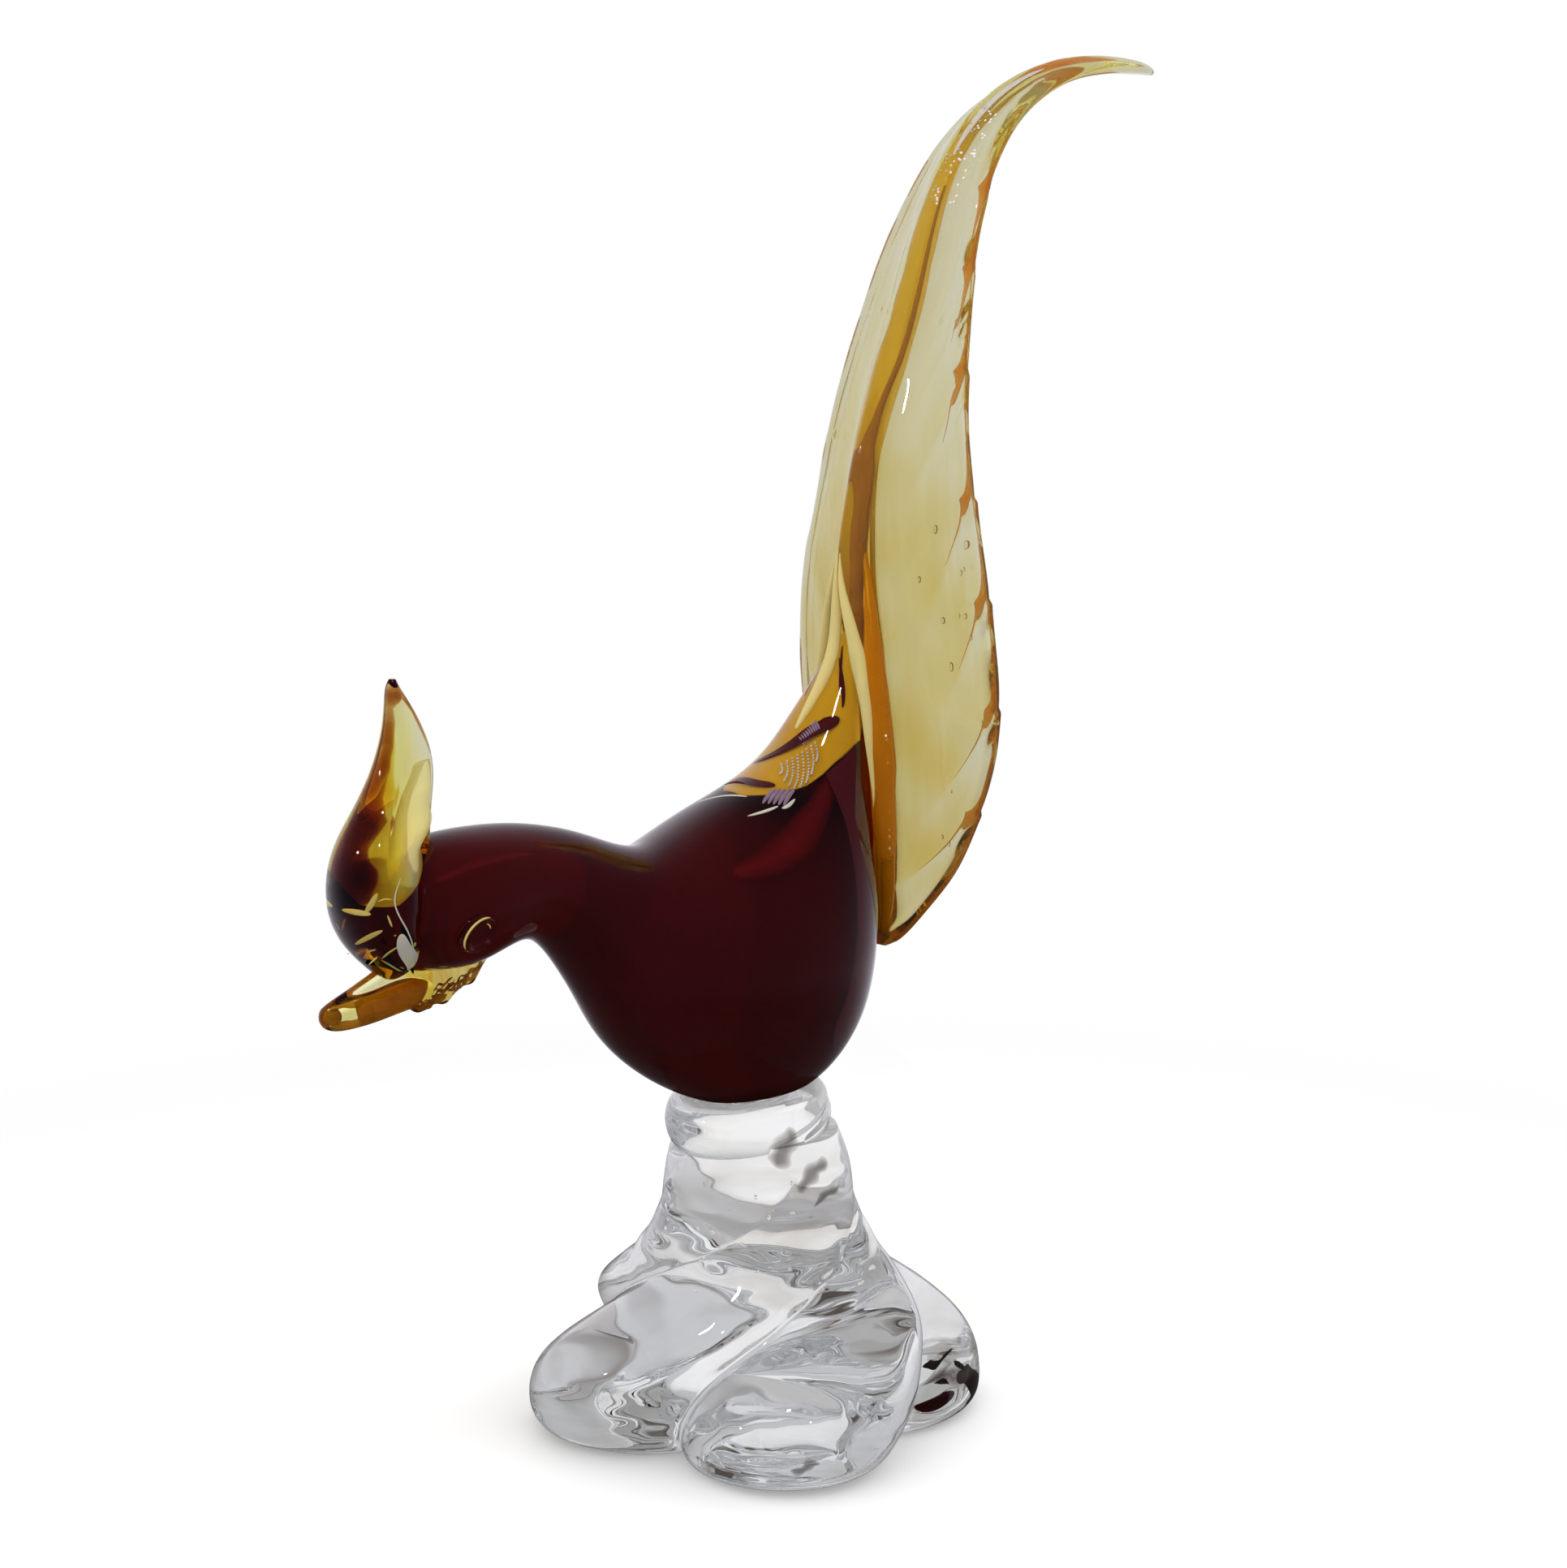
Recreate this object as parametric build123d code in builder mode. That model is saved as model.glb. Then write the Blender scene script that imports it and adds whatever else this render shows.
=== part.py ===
"""Hot-worked glass bird, head lowered as if drinking, on a twisted clear foot.

Frame: +Z up, origin at the centre of the foot's flat underside. The bird faces -X and its
plane of symmetry is XZ. Every piece is a separate gather or bit of glass that was fused to its
neighbours while hot, so each one is trimmed back to the neighbour it was laid on.
"""

import os
from math import cos, hypot, pi, radians, sin, tan

from build123d import *

# ---- Driving dimensions, mm ----
FOOT_HEIGHT = 74.0
FOOT_LOBES = 4
FIRST_LOBE_ANGLE = -113.0  # degrees from +X, where one lobe touches the table
POINTS_PER_LOBE = 8  # steps along the outline of one lobe
LOBE_FULLNESS = 0.8  # power of the sine that swells a lobe, lower is fuller
# height, lobe radius, valley radius, twist from the table up (degrees)
FOOT_LEVELS = [
    (0.0, 50.0, 29.0, 0.0),
    (2.0, 54.5, 32.0, 1.0),
    (6.0, 57.0, 34.5, 3.0),
    (12.0, 57.5, 36.0, 7.0),
    (20.0, 55.0, 36.0, 15.0),
    (28.0, 47.5, 34.5, 29.0),
    (36.0, 37.5, 31.5, 50.0),
    (43.0, 30.4, 28.0, 74.0),
    (50.0, 26.5, 25.0, 102.0),
    (58.0, 24.0, 23.2, 128.0),
    (66.0, 22.6, 22.0, 148.0),
    (FOOT_HEIGHT, 20.0, 19.6, 164.0),
]

COLLAR_RADIUS = 20.4
COLLAR_HEIGHT = 14.5
COLLAR_BASE = 70.5
COLLAR_CENTRE_X = -1.5
COLLAR_FLAT = 0.72  # share of the radius where the rounded outside begins
COLLAR_TILT = 7.0  # degrees, the tail side is the higher

# Body sections are ellipses that fan round the nook where the neck leaves the back:
# (point on the back), (point on the belly), half width
BODY_SECTIONS = [
    ((-102.5, 146.0), (-103.0, 134.5), 6.5),
    ((-98.0, 152.4), (-99.5, 128.5), 11.5),
    ((-90.0, 156.3), (-91.5, 126.0), 14.4),
    ((-78.0, 157.4), (-80.0, 126.3), 15.0),
    ((-65.0, 156.6), (-69.0, 129.6), 13.8),
    ((-52.0, 153.6), (-60.6, 127.4), 13.4),
    ((-41.5, 149.6), (-53.6, 119.2), 15.4),
    ((-33.5, 147.8), (-47.6, 109.8), 19.2),
    ((-27.0, 149.0), (-41.0, 99.8), 23.8),
    ((-20.0, 151.8), (-30.4, 90.4), 27.6),
    ((-12.0, 155.6), (-15.0, 82.8), 29.8),
    ((-4.0, 159.6), (1.8, 81.2), 29.8),
    ((3.2, 163.8), (15.0, 86.8), 27.8),
    ((9.0, 168.6), (24.0, 98.6), 24.0),
    ((13.6, 174.2), (27.6, 113.4), 19.8),
    ((17.4, 179.6), (28.4, 130.2), 15.8),
    ((20.7, 184.6), (28.4, 147.0), 12.0),
    ((23.4, 189.4), (28.2, 164.0), 8.6),
    ((25.4, 193.2), (28.0, 179.0), 5.4),
]
BODY_HEAD_END = (-104.0, 140.8)
BODY_BACK_TIP = (27.4, 196.5)

CASING_WALL = 2.6  # amber skin over the ruby core
# Body sections that the core also has, and how far down the chord its back starts in each:
# past the saddle the ruby falls away from the back and ends in a point inside the mantle
CORE_DROPS = {
    1: 0.11,
    2: 0.084,
    3: 0.081,
    4: 0.091,
    5: 0.09,
    6: 0.073,
    7: 0.059,
    8: 0.05,
    9: 0.05,
    10: 0.055,
    11: 0.08,
    12: 0.12,
    13: 0.18,
    14: 0.27,
    15: 0.40,
    16: 0.58,
}
CORE_TAPER_START = 0.6  # share of a chord the core may give up before it also narrows
CORE_HEAD_END = (-99.5, 141.0)
CORE_BACK_TIP = (27.0, 168.5)

# Tail spine from the bottom of the keel to the curled tip, with at each point:
# (x, z), span of one vane, rib depth, vane sweep (degrees), vane thickness
TAIL_SECTIONS = [
    ((36.8, 114.6), 2.8, 5.0, 2.0, 1.8),
    ((37.4, 117.4), 7.5, 8.5, 4.0, 2.8),
    ((38.0, 123.5), 14.0, 9.5, 5.0, 3.4),
    ((38.4, 133.0), 22.5, 10.5, 6.0, 3.6),
    ((38.4, 148.0), 31.5, 10.5, 7.0, 3.6),
    ((37.2, 168.0), 38.5, 10.0, 8.5, 3.6),
    ((35.4, 189.0), 38.5, 9.5, 10.0, 3.6),
    ((34.8, 209.0), 34.5, 8.5, 12.0, 3.5),
    ((35.4, 229.0), 28.5, 8.0, 13.5, 3.4),
    ((37.8, 248.0), 23.2, 7.5, 14.0, 3.3),
    ((42.0, 267.0), 18.5, 6.8, 14.5, 3.2),
    ((48.0, 285.5), 14.5, 6.2, 15.0, 3.1),
    ((56.6, 302.5), 11.2, 5.6, 16.0, 3.0),
    ((69.2, 316.8), 8.8, 5.0, 17.0, 3.0),
    ((86.0, 325.8), 6.4, 4.2, 17.0, 3.0),
    ((103.0, 328.6), 4.6, 3.2, 14.0, 2.8),
    ((115.5, 328.4), 3.0, 2.3, 10.0, 2.4),
    ((121.0, 327.6), 1.5, 1.3, 4.0, 1.5),
]
RIB_HALF_WIDTH = 4.2
RIB_SPAN_LIMIT = 0.5  # the rib's half width is never more than this share of a vane
RIB_SHOULDER = (0.8, 0.62)  # shares of the rib's half width and depth
RIB_ROOT = 1.4  # where the rib runs out into the vane, in rib half widths
RIM_INSET = 0.8  # how far from the edge the rim's rounding starts, in half thicknesses

# Crest, beak and wattle sections: (upper or rear point), (lower or front point), half width
CREST_SECTIONS = [
    ((-98.0, 126.6), (-104.2, 128.0), 5.5),
    ((-94.0, 131.5), (-109.8, 134.5), 11.6),
    ((-92.6, 143.0), (-112.8, 143.5), 13.8),
    ((-89.6, 155.0), (-112.0, 153.0), 11.4),
    ((-88.2, 164.0), (-108.6, 161.0), 7.4),
    ((-87.6, 171.0), (-104.8, 168.0), 4.8),
    ((-88.8, 178.0), (-101.4, 175.5), 3.8),
    ((-92.2, 185.2), (-99.4, 183.5), 3.1),
    ((-95.6, 190.4), (-98.6, 190.0), 2.2),
]
CREST_ROOT_END = (-101.0, 125.4)
CREST_TIP_END = (-97.4, 193.0)

BEAK_SECTIONS = [
    ((-96.0, 130.0), (-94.5, 117.6), 5.6),
    ((-103.0, 127.6), (-103.0, 116.0), 4.8),
    ((-110.0, 124.2), (-110.0, 115.2), 3.8),
    ((-115.0, 121.6), (-114.6, 115.6), 2.7),
]
BEAK_HEEL_END = (-89.5, 123.0)
BEAK_TIP_END = (-117.2, 118.4)

WATTLE_SECTIONS = [
    ((-93.0, 128.0), (-92.0, 117.2), 2.3),
    ((-86.0, 128.5), (-86.5, 118.0), 2.1),
    ((-80.0, 129.5), (-80.5, 121.4), 1.9),
    ((-75.0, 131.0), (-75.6, 126.2), 1.5),
]
WATTLE_BEAK_END = (-97.0, 121.0)
WATTLE_THROAT_END = (-72.4, 130.4)

EYE_CENTRE = (-84.4, 11.7, 137.4)
EYE_LENGTH = 11.5
EYE_WIDTH = 8.6
EYE_TILT = 35.0  # degrees, the rear end is the higher


def lobe_points(lobe, lobe_radius, valley_radius, twist):
    """Points over one lobe of a foot section, from one valley to the next."""
    points = []
    for step in range(POINTS_PER_LOBE + 1):
        share = step / POINTS_PER_LOBE
        angle = (lobe + share - 0.5) * 2 * pi / FOOT_LOBES
        radius = valley_radius + (lobe_radius - valley_radius) * sin(pi * share) ** LOBE_FULLNESS
        turned = angle + radians(FIRST_LOBE_ANGLE + twist)
        points.append((radius * cos(turned), radius * sin(turned)))
    return points


def chord_length(upper, lower):
    return hypot(upper[0] - lower[0], upper[1] - lower[1])


def chord_plane(upper, lower):
    """Plane of a section that stands on the XZ line between two points; its x runs to upper."""
    along = Vector(upper[0] - lower[0], 0, upper[1] - lower[1])
    middle = Vector((upper[0] + lower[0]) / 2, 0, (upper[1] + lower[1]) / 2)
    return Plane(origin=middle, x_dir=along, z_dir=along.cross(Vector(0, 1, 0)))


def between(start, end, share):
    return (start[0] + (end[0] - start[0]) * share, start[1] + (end[1] - start[1]) * share)


def core_sections():
    """The body's sections drawn in by the casing wall, and cut short under the mantle."""
    found = []
    for index, drop in CORE_DROPS.items():
        back, belly, half_width = BODY_SECTIONS[index]
        wall = CASING_WALL / chord_length(back, belly)
        narrowing = min(1.0, 1 + CORE_TAPER_START - drop - wall) * (1 - (drop - wall) ** 2) ** 0.5
        upper = between(back, belly, drop)
        lower = between(belly, back, wall)
        found.append((upper, lower, (half_width - CASING_WALL) * narrowing))
    return found


def elliptic_loft(sections, start, end):
    """Lofts ellipses through the sections, closed by a point at each end."""
    faces = []
    for upper, lower, half_width in sections:
        with BuildSketch(chord_plane(upper, lower)) as section:
            Ellipse(chord_length(upper, lower) / 2, half_width)
        faces.append(section.sketch.face())
    first = Vertex(start[0], 0, start[1])
    last = Vertex(end[0], 0, end[1])
    return loft([first, *faces, last])


def spine_plane(index):
    """Section plane square to the tail spine; its x is +Y and its y points to the head side."""
    ahead = TAIL_SECTIONS[min(index + 1, len(TAIL_SECTIONS) - 1)][0]
    behind = TAIL_SECTIONS[max(index - 1, 0)][0]
    here = TAIL_SECTIONS[index][0]
    along = Vector(ahead[0] - behind[0], 0, ahead[1] - behind[1])
    return Plane(origin=(here[0], 0, here[1]), x_dir=(0, 1, 0), z_dir=along)


def vane_edges(side, span, rib_depth, sweep, thickness):
    """The three edges of half a tail section, side +1 or -1: over the rib and along the front
    face, round the rim, and back along the rear face to the middle."""
    slope = tan(radians(sweep))
    rib = min(RIB_HALF_WIDTH, span * RIB_SPAN_LIMIT)
    half = thickness / 2
    middle = (rib + span) / 2
    near_rim = span - RIM_INSET * half
    crest = (0, rib_depth)
    rib_side = (side * RIB_SHOULDER[0] * rib, RIB_SHOULDER[1] * rib_depth)
    rib_root = (side * RIB_ROOT * rib, half - slope * rib)
    front_middle = (side * middle, half - slope * middle)
    front_rim = (side * near_rim, RIM_INSET * half - slope * near_rim)
    rim = (side * span, -slope * span)
    rear_rim = (side * near_rim, -RIM_INSET * half - slope * near_rim)
    rear_middle = (side * middle, -half - slope * middle)
    rear_root = (0, -half)
    Spline(crest, rib_side, rib_root, front_middle, front_rim)
    ThreePointArc(front_rim, rim, rear_rim)
    Spline(rear_rim, rear_middle, rear_root)


def eye_shape(side):
    """Oval prunt on one side of the head, side +1 for +Y."""
    tilt = radians(EYE_TILT)
    centre = Vector(EYE_CENTRE[0], side * EYE_CENTRE[1], EYE_CENTRE[2])
    plane = Plane(origin=centre, x_dir=(cos(tilt), 0, sin(tilt)), z_dir=(0, -1, 0))
    with BuildSketch(plane) as half_oval:
        Ellipse(EYE_LENGTH / 2, EYE_WIDTH / 2)
        with Locations((0, -EYE_WIDTH / 2)):
            Rectangle(EYE_LENGTH, EYE_WIDTH, mode=Mode.SUBTRACT)
    return revolve(half_oval.sketch.face(), axis=Axis(centre, (cos(tilt), 0, sin(tilt))))


# ---- Outer body shape, used whole as the trimming tool for everything laid on it ----
with BuildPart() as body_shape:
    elliptic_loft(BODY_SECTIONS, BODY_HEAD_END, BODY_BACK_TIP)

# ---- Ruby core ----
with BuildPart() as body_core:
    elliptic_loft(core_sections(), CORE_HEAD_END, CORE_BACK_TIP)

# ---- Amber casing over the core, solid where it forms the mantle ----
with BuildPart() as body_casing:
    add(body_shape.part)
    add(body_core.part, mode=Mode.SUBTRACT)

# ---- Clear twisted foot ----
with BuildPart() as foot:
    levels = []
    for height, lobe_radius, valley_radius, twist in FOOT_LEVELS:
        with BuildSketch(Plane.XY.offset(height)) as level:
            with BuildLine():
                for lobe in range(FOOT_LOBES):
                    Spline(*lobe_points(lobe, lobe_radius, valley_radius, twist))
            make_face()
        levels.append(level.sketch.face())
    loft(levels)

# ---- Clear collar between foot and body ----
collar_tilt = radians(COLLAR_TILT)
collar_foot = Vector(COLLAR_CENTRE_X, 0, COLLAR_BASE)
collar_plane = Plane(origin=collar_foot, x_dir=(cos(collar_tilt), 0, sin(collar_tilt)), z_dir=(0, -1, 0))
with BuildPart() as collar:
    with BuildSketch(collar_plane):
        with BuildLine():
            flat = COLLAR_FLAT * COLLAR_RADIUS
            Polyline((flat, COLLAR_HEIGHT), (0, COLLAR_HEIGHT), (0, 0), (flat, 0))
            ThreePointArc((flat, 0), (COLLAR_RADIUS, 0.5 * COLLAR_HEIGHT), (flat, COLLAR_HEIGHT))
        make_face()
    revolve(axis=Axis(collar_foot, (-sin(collar_tilt), 0, cos(collar_tilt))))
    add(foot.part, mode=Mode.SUBTRACT)
    add(body_shape.part, mode=Mode.SUBTRACT)

# ---- Amber tail: rib, keel and two vanes from one gather ----
with BuildPart() as tail:
    sections = []
    for index, (_, span, rib_depth, sweep, thickness) in enumerate(TAIL_SECTIONS):
        with BuildSketch(spine_plane(index)) as section:
            with BuildLine():
                vane_edges(1, span, rib_depth, sweep, thickness)
                vane_edges(-1, span, rib_depth, sweep, thickness)
            make_face()
        sections.append(section.sketch.face())
    loft(sections)
    add(body_shape.part, mode=Mode.SUBTRACT)

# ---- Amber crest capping the head ----
with BuildPart() as crest:
    elliptic_loft(CREST_SECTIONS, CREST_ROOT_END, CREST_TIP_END)
    add(body_shape.part, mode=Mode.SUBTRACT)

# ---- Amber beak under the front of the head ----
with BuildPart() as beak:
    elliptic_loft(BEAK_SECTIONS, BEAK_HEEL_END, BEAK_TIP_END)
    add(body_shape.part, mode=Mode.SUBTRACT)
    add(crest.part, mode=Mode.SUBTRACT)

# ---- Amber wattle hanging behind the beak ----
with BuildPart() as wattle:
    elliptic_loft(WATTLE_SECTIONS, WATTLE_BEAK_END, WATTLE_THROAT_END)
    add(body_shape.part, mode=Mode.SUBTRACT)
    add(crest.part, mode=Mode.SUBTRACT)
    add(beak.part, mode=Mode.SUBTRACT)

# ---- Amber eye prunts ----
with BuildPart() as left_eye:
    eye_shape(-1)
    add(body_shape.part, mode=Mode.SUBTRACT)

with BuildPart() as right_eye:
    eye_shape(1)
    add(body_shape.part, mode=Mode.SUBTRACT)

os.makedirs("parts", exist_ok=True)

body_core.part.label = "body_core"
export_step(body_core.part, "parts/body_core.step")

body_casing.part.label = "body_casing"
export_step(body_casing.part, "parts/body_casing.step")

foot.part.label = "foot"
export_step(foot.part, "parts/foot.step")

collar.part.label = "collar"
export_step(collar.part, "parts/collar.step")

tail.part.label = "tail"
export_step(tail.part, "parts/tail.step")

crest.part.label = "crest"
export_step(crest.part, "parts/crest.step")

beak.part.label = "beak"
export_step(beak.part, "parts/beak.step")

wattle.part.label = "wattle"
export_step(wattle.part, "parts/wattle.step")

left_eye.part.label = "left_eye"
export_step(left_eye.part, "parts/left_eye.step")

right_eye.part.label = "right_eye"
export_step(right_eye.part, "parts/right_eye.step")
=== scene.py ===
import math

import bpy
import numpy as np
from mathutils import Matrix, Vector
from mathutils.bvhtree import BVHTree


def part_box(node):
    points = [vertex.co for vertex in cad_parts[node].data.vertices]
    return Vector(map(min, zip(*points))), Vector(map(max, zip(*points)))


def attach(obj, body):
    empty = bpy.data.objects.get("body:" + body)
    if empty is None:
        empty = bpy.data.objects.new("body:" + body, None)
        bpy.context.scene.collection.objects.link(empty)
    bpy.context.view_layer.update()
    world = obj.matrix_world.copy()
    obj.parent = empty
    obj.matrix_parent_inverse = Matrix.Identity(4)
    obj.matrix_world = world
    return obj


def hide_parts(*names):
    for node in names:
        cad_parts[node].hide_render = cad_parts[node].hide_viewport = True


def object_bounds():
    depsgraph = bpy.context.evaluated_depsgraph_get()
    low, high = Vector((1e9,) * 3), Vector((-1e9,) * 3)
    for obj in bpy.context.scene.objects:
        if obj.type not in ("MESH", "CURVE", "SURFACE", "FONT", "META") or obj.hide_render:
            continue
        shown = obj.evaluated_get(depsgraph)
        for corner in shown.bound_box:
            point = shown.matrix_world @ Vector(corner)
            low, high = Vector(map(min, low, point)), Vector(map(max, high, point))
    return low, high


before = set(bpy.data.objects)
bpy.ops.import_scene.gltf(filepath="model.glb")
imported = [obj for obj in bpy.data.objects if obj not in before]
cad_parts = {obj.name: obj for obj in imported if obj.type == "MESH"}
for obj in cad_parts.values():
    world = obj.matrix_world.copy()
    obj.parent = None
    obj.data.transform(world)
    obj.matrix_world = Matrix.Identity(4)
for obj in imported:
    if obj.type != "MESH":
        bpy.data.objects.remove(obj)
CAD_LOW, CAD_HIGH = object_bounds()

MM = 0.001
SIDEWAYS = np.array([0.0, 1.0, 0.0])
UPWARDS = np.array([0.0, 0.0, 1.0])
HEIGHT = CAD_HIGH.z - CAD_LOW.z
SEED = 7

# ---- Number helpers ----


def spline(table, steps):
    """The rows of a table joined by natural cubic splines, read at the given row positions."""
    rows = np.array(table, float)
    count = len(rows)
    matrix = np.eye(count)
    bends = np.zeros_like(rows)
    for i in range(1, count - 1):
        matrix[i, i - 1 : i + 2] = (1, 4, 1)
        bends[i] = 6 * (rows[i - 1] - 2 * rows[i] + rows[i + 1])
    bends = np.linalg.solve(matrix, bends)
    left = np.clip(np.floor(steps).astype(int), 0, count - 2)
    t = (steps - left)[:, None]
    s = 1 - t
    return (
        s * rows[left]
        + t * rows[left + 1]
        + ((s**3 - s) * bends[left] + (t**3 - t) * bends[left + 1]) / 6
    )


def ramp(value, start, end):
    """0 at start, 1 at end, with a smooth change between."""
    t = np.clip((value - start) / (end - start), 0, 1)
    return t * t * (3 - 2 * t)


def waves(points, size, seed):
    """A smooth random field of about -1 to 1 over points in mm, with bumps about size mm apart."""
    rng = np.random.default_rng(seed)
    total = np.zeros(points.shape[:-1])
    for _ in range(9):
        direction = rng.normal(size=3)
        direction *= rng.uniform(0.6, 1.6) * 2 * math.pi / (size * np.linalg.norm(direction))
        total += np.sin(points @ direction + rng.uniform(0, 2 * math.pi))
    return total / 4.5


def along_table(table, count):
    """Evenly spaced values of a table's first column, and its other columns splined there."""
    table = np.array(table, float)
    places = np.linspace(table[0, 0], table[-1, 0], count)
    return places, spline(table[:, 1:], np.interp(places, table[:, 0], np.arange(len(table))))


def smooth_rows(table, count):
    """Evenly spaced rows of a table, splined."""
    return spline(table, np.linspace(0, len(table) - 1, count))


def arch(place, power=2):
    """Height of a round arch: 1 at a place of 0, and 0 at -1 and 1."""
    return np.sqrt(np.clip(1 - np.abs(place) ** power, 0, 1))


def taper(t, power=2, least=0.003):
    """Width of a leaf from its thin ends, at t of 0 and 1, to 1 in its middle."""
    return np.sqrt(np.clip(1 - np.abs(2 * t - 1) ** power, least, 1))


def circle(around):
    """Angles of evenly spaced points round a circle."""
    return 2 * math.pi * np.arange(around) / around


def blade(around):
    """For points round a blade: their share of the way from one edge to the other, and side."""
    turn = circle(around)
    return (1 - np.cos(turn)) / 2, np.where(np.sin(turn) >= 0, 1.0, -1.0)


def upright(radius, angle, height):
    """Points by their radius and angle about the Z axis and their height."""
    return np.stack([radius * np.cos(angle), radius * np.sin(angle), height + 0 * angle], -1)


def lengths(vectors):
    return np.linalg.norm(vectors, axis=-1)[..., None]


def tangents(centres):
    along = np.gradient(centres, axis=0)
    return along / lengths(along)


def seat(points, node, faces):
    """Fits points to a CAD node's box on the named faces: a small letter is the low side of that
    axis and a capital the high side. An axis with both is scaled, and one with a single face is
    moved."""
    low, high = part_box(node)
    for axis, letter in enumerate("xyz"):
        mine = points[..., axis]
        start, end = mine.min(), mine.max()
        if letter in faces and letter.upper() in faces:
            share = (mine - start) / (end - start)
            points[..., axis] = (low[axis] + share * (high[axis] - low[axis])) / MM
        elif letter in faces:
            points[..., axis] += low[axis] / MM - start
        elif letter.upper() in faces:
            points[..., axis] += high[axis] / MM - end
    return points


# ---- Mesh helpers ----


def ring_mesh(rings):
    """Vertices and faces of a closed skin over rings (count, around, 3), the two ends closed by
    fans to their middles, with its normals outwards."""
    count, around, _ = rings.shape
    points = rings.reshape(-1, 3)
    ends = np.array([rings[0].mean(0), rings[-1].mean(0)])
    points = np.vstack([points, ends])
    faces = []
    for i in range(count - 1):
        here, there = i * around, (i + 1) * around
        for j in range(around):
            k = (j + 1) % around
            faces.append((here + j, here + k, there + k, there + j))
    last = (count - 1) * around
    for j in range(around):
        k = (j + 1) % around
        faces.append((k, j, count * around))
        faces.append((last + j, last + k, count * around + 1))
    corners = np.array([(f[0], f[1], f[2]) for f in faces])
    a, b, c = points[corners[:, 0]], points[corners[:, 1]], points[corners[:, 2]]
    if np.einsum("ij,ij->", a, np.cross(b, c)) < 0:
        faces = [f[::-1] for f in faces]
    return points, faces


def bubble(centre, radius, stretch, along):
    """Vertices and faces of a seed bubble: a small drawn-out void, so its normals face inwards."""
    across, around = 9, 12
    along = np.array(along, float) / np.linalg.norm(along)
    side = np.cross(along, (0.3, 1.0, 0.2))
    side /= np.linalg.norm(side)
    third = np.cross(along, side)
    turn = circle(around)
    rings = []
    for i in range(1, across):
        tilt = math.pi * i / across
        flat = radius * math.sin(tilt)
        ring = np.outer(np.cos(turn), side) + np.outer(np.sin(turn), third)
        rings.append(np.array(centre) + flat * ring + radius * stretch * math.cos(tilt) * along)
    points, faces = ring_mesh(np.array(rings))
    return points, [f[::-1] for f in faces]


def piece(name, shells, material, nodes):
    """One smooth-shaded glass piece from (points in mm, faces) shells. It rides on the root
    body and stands for the CAD nodes."""
    points, faces = [], []
    for shell_points, shell_faces in shells:
        start = sum(len(p) for p in points)
        points.append(shell_points)
        faces.extend(tuple(start + v for v in f) for f in shell_faces)
    mesh = bpy.data.meshes.new(name)
    mesh.from_pydata((np.vstack(points) * MM).tolist(), [], faces)
    mesh.polygons.foreach_set("use_smooth", [True] * len(mesh.polygons))
    mesh.update()
    made = bpy.data.objects.new(name, mesh)
    bpy.context.scene.collection.objects.link(made)
    made.data.materials.append(material)
    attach(made, "root")
    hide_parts(*nodes)
    return made


def vertex_places(mesh):
    """The vertices of a mesh as rows of x, y and z in metres."""
    flat = np.zeros(len(mesh.vertices) * 3)
    mesh.vertices.foreach_get("co", flat)
    return flat.reshape(-1, 3)


def mark_sunk(made, neighbours, fused=None):
    """Stores on each vertex how far it lies inside a neighbouring piece, in metres, negative
    outside. The glass there is fused, so its surface doesn't show. Fused picks more such
    vertices by their place in mm."""
    points = vertex_places(made.data)
    depth = np.full(len(points), -1.0)
    margin = 2 * MM
    for other in neighbours:
        corners = vertex_places(other.data)
        low, high = corners.min(0) - margin, corners.max(0) + margin
        near = np.where(np.all((points > low) & (points < high), axis=1))[0]
        faces = [tuple(polygon.vertices) for polygon in other.data.polygons]
        tree = BVHTree.FromPolygons(corners.tolist(), faces)
        for i in near:
            spot, normal, _, distance = tree.find_nearest(Vector(points[i]))
            inside = (Vector(points[i]) - spot).dot(normal) < 0
            depth[i] = max(depth[i], distance if inside else -distance)
    if fused:
        depth[fused(points / MM)] = MM
    layer = made.data.attributes.new("sunk", "FLOAT", "POINT")
    layer.data.foreach_set("value", depth.astype(np.float32))


# ---- Materials ----


def add_node(tree, kind, inputs=None, **settings):
    """A shader node with its settings. Each input is a value or another node's output."""
    node = tree.nodes.new("ShaderNode" + kind)
    for key, value in settings.items():
        setattr(node, key, value)
    for key, value in (inputs or {}).items():
        if isinstance(value, bpy.types.NodeSocket):
            tree.links.new(value, node.inputs[key])
        else:
            node.inputs[key].default_value = value
    return node


def maths(tree, operation, first, second):
    """Output of a sum or a test on two values, kept within 0 to 1."""
    return add_node(tree, "Math", {0: first, 1: second}, operation=operation, use_clamp=True).outputs[0]


def mix_shaders(tree, share, first, second):
    return add_node(tree, "MixShader", {"Fac": share, 1: first, 2: second}).outputs[0]


def plain_shader(tree, kind, colour):
    return add_node(tree, kind, {"Color": (*colour, 1)}).outputs[0]


def colour_ramp(tree, share, stops, interpolation="LINEAR"):
    """Colour by a share of 0 to 1, through stops of a position and a colour."""
    node = add_node(tree, "ValToRGB", {"Fac": share})
    node.color_ramp.interpolation = interpolation
    elements = node.color_ramp.elements
    while len(elements) < len(stops):
        elements.new(0.5)
    for element, (position, colour) in zip(elements, stops):
        element.position = position
        element.color = (*colour, 1)
    return node.outputs["Color"]


def new_material(name):
    material = bpy.data.materials.new(name)
    material.use_nodes = True
    material.node_tree.nodes.clear()
    return material, material.node_tree


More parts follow.
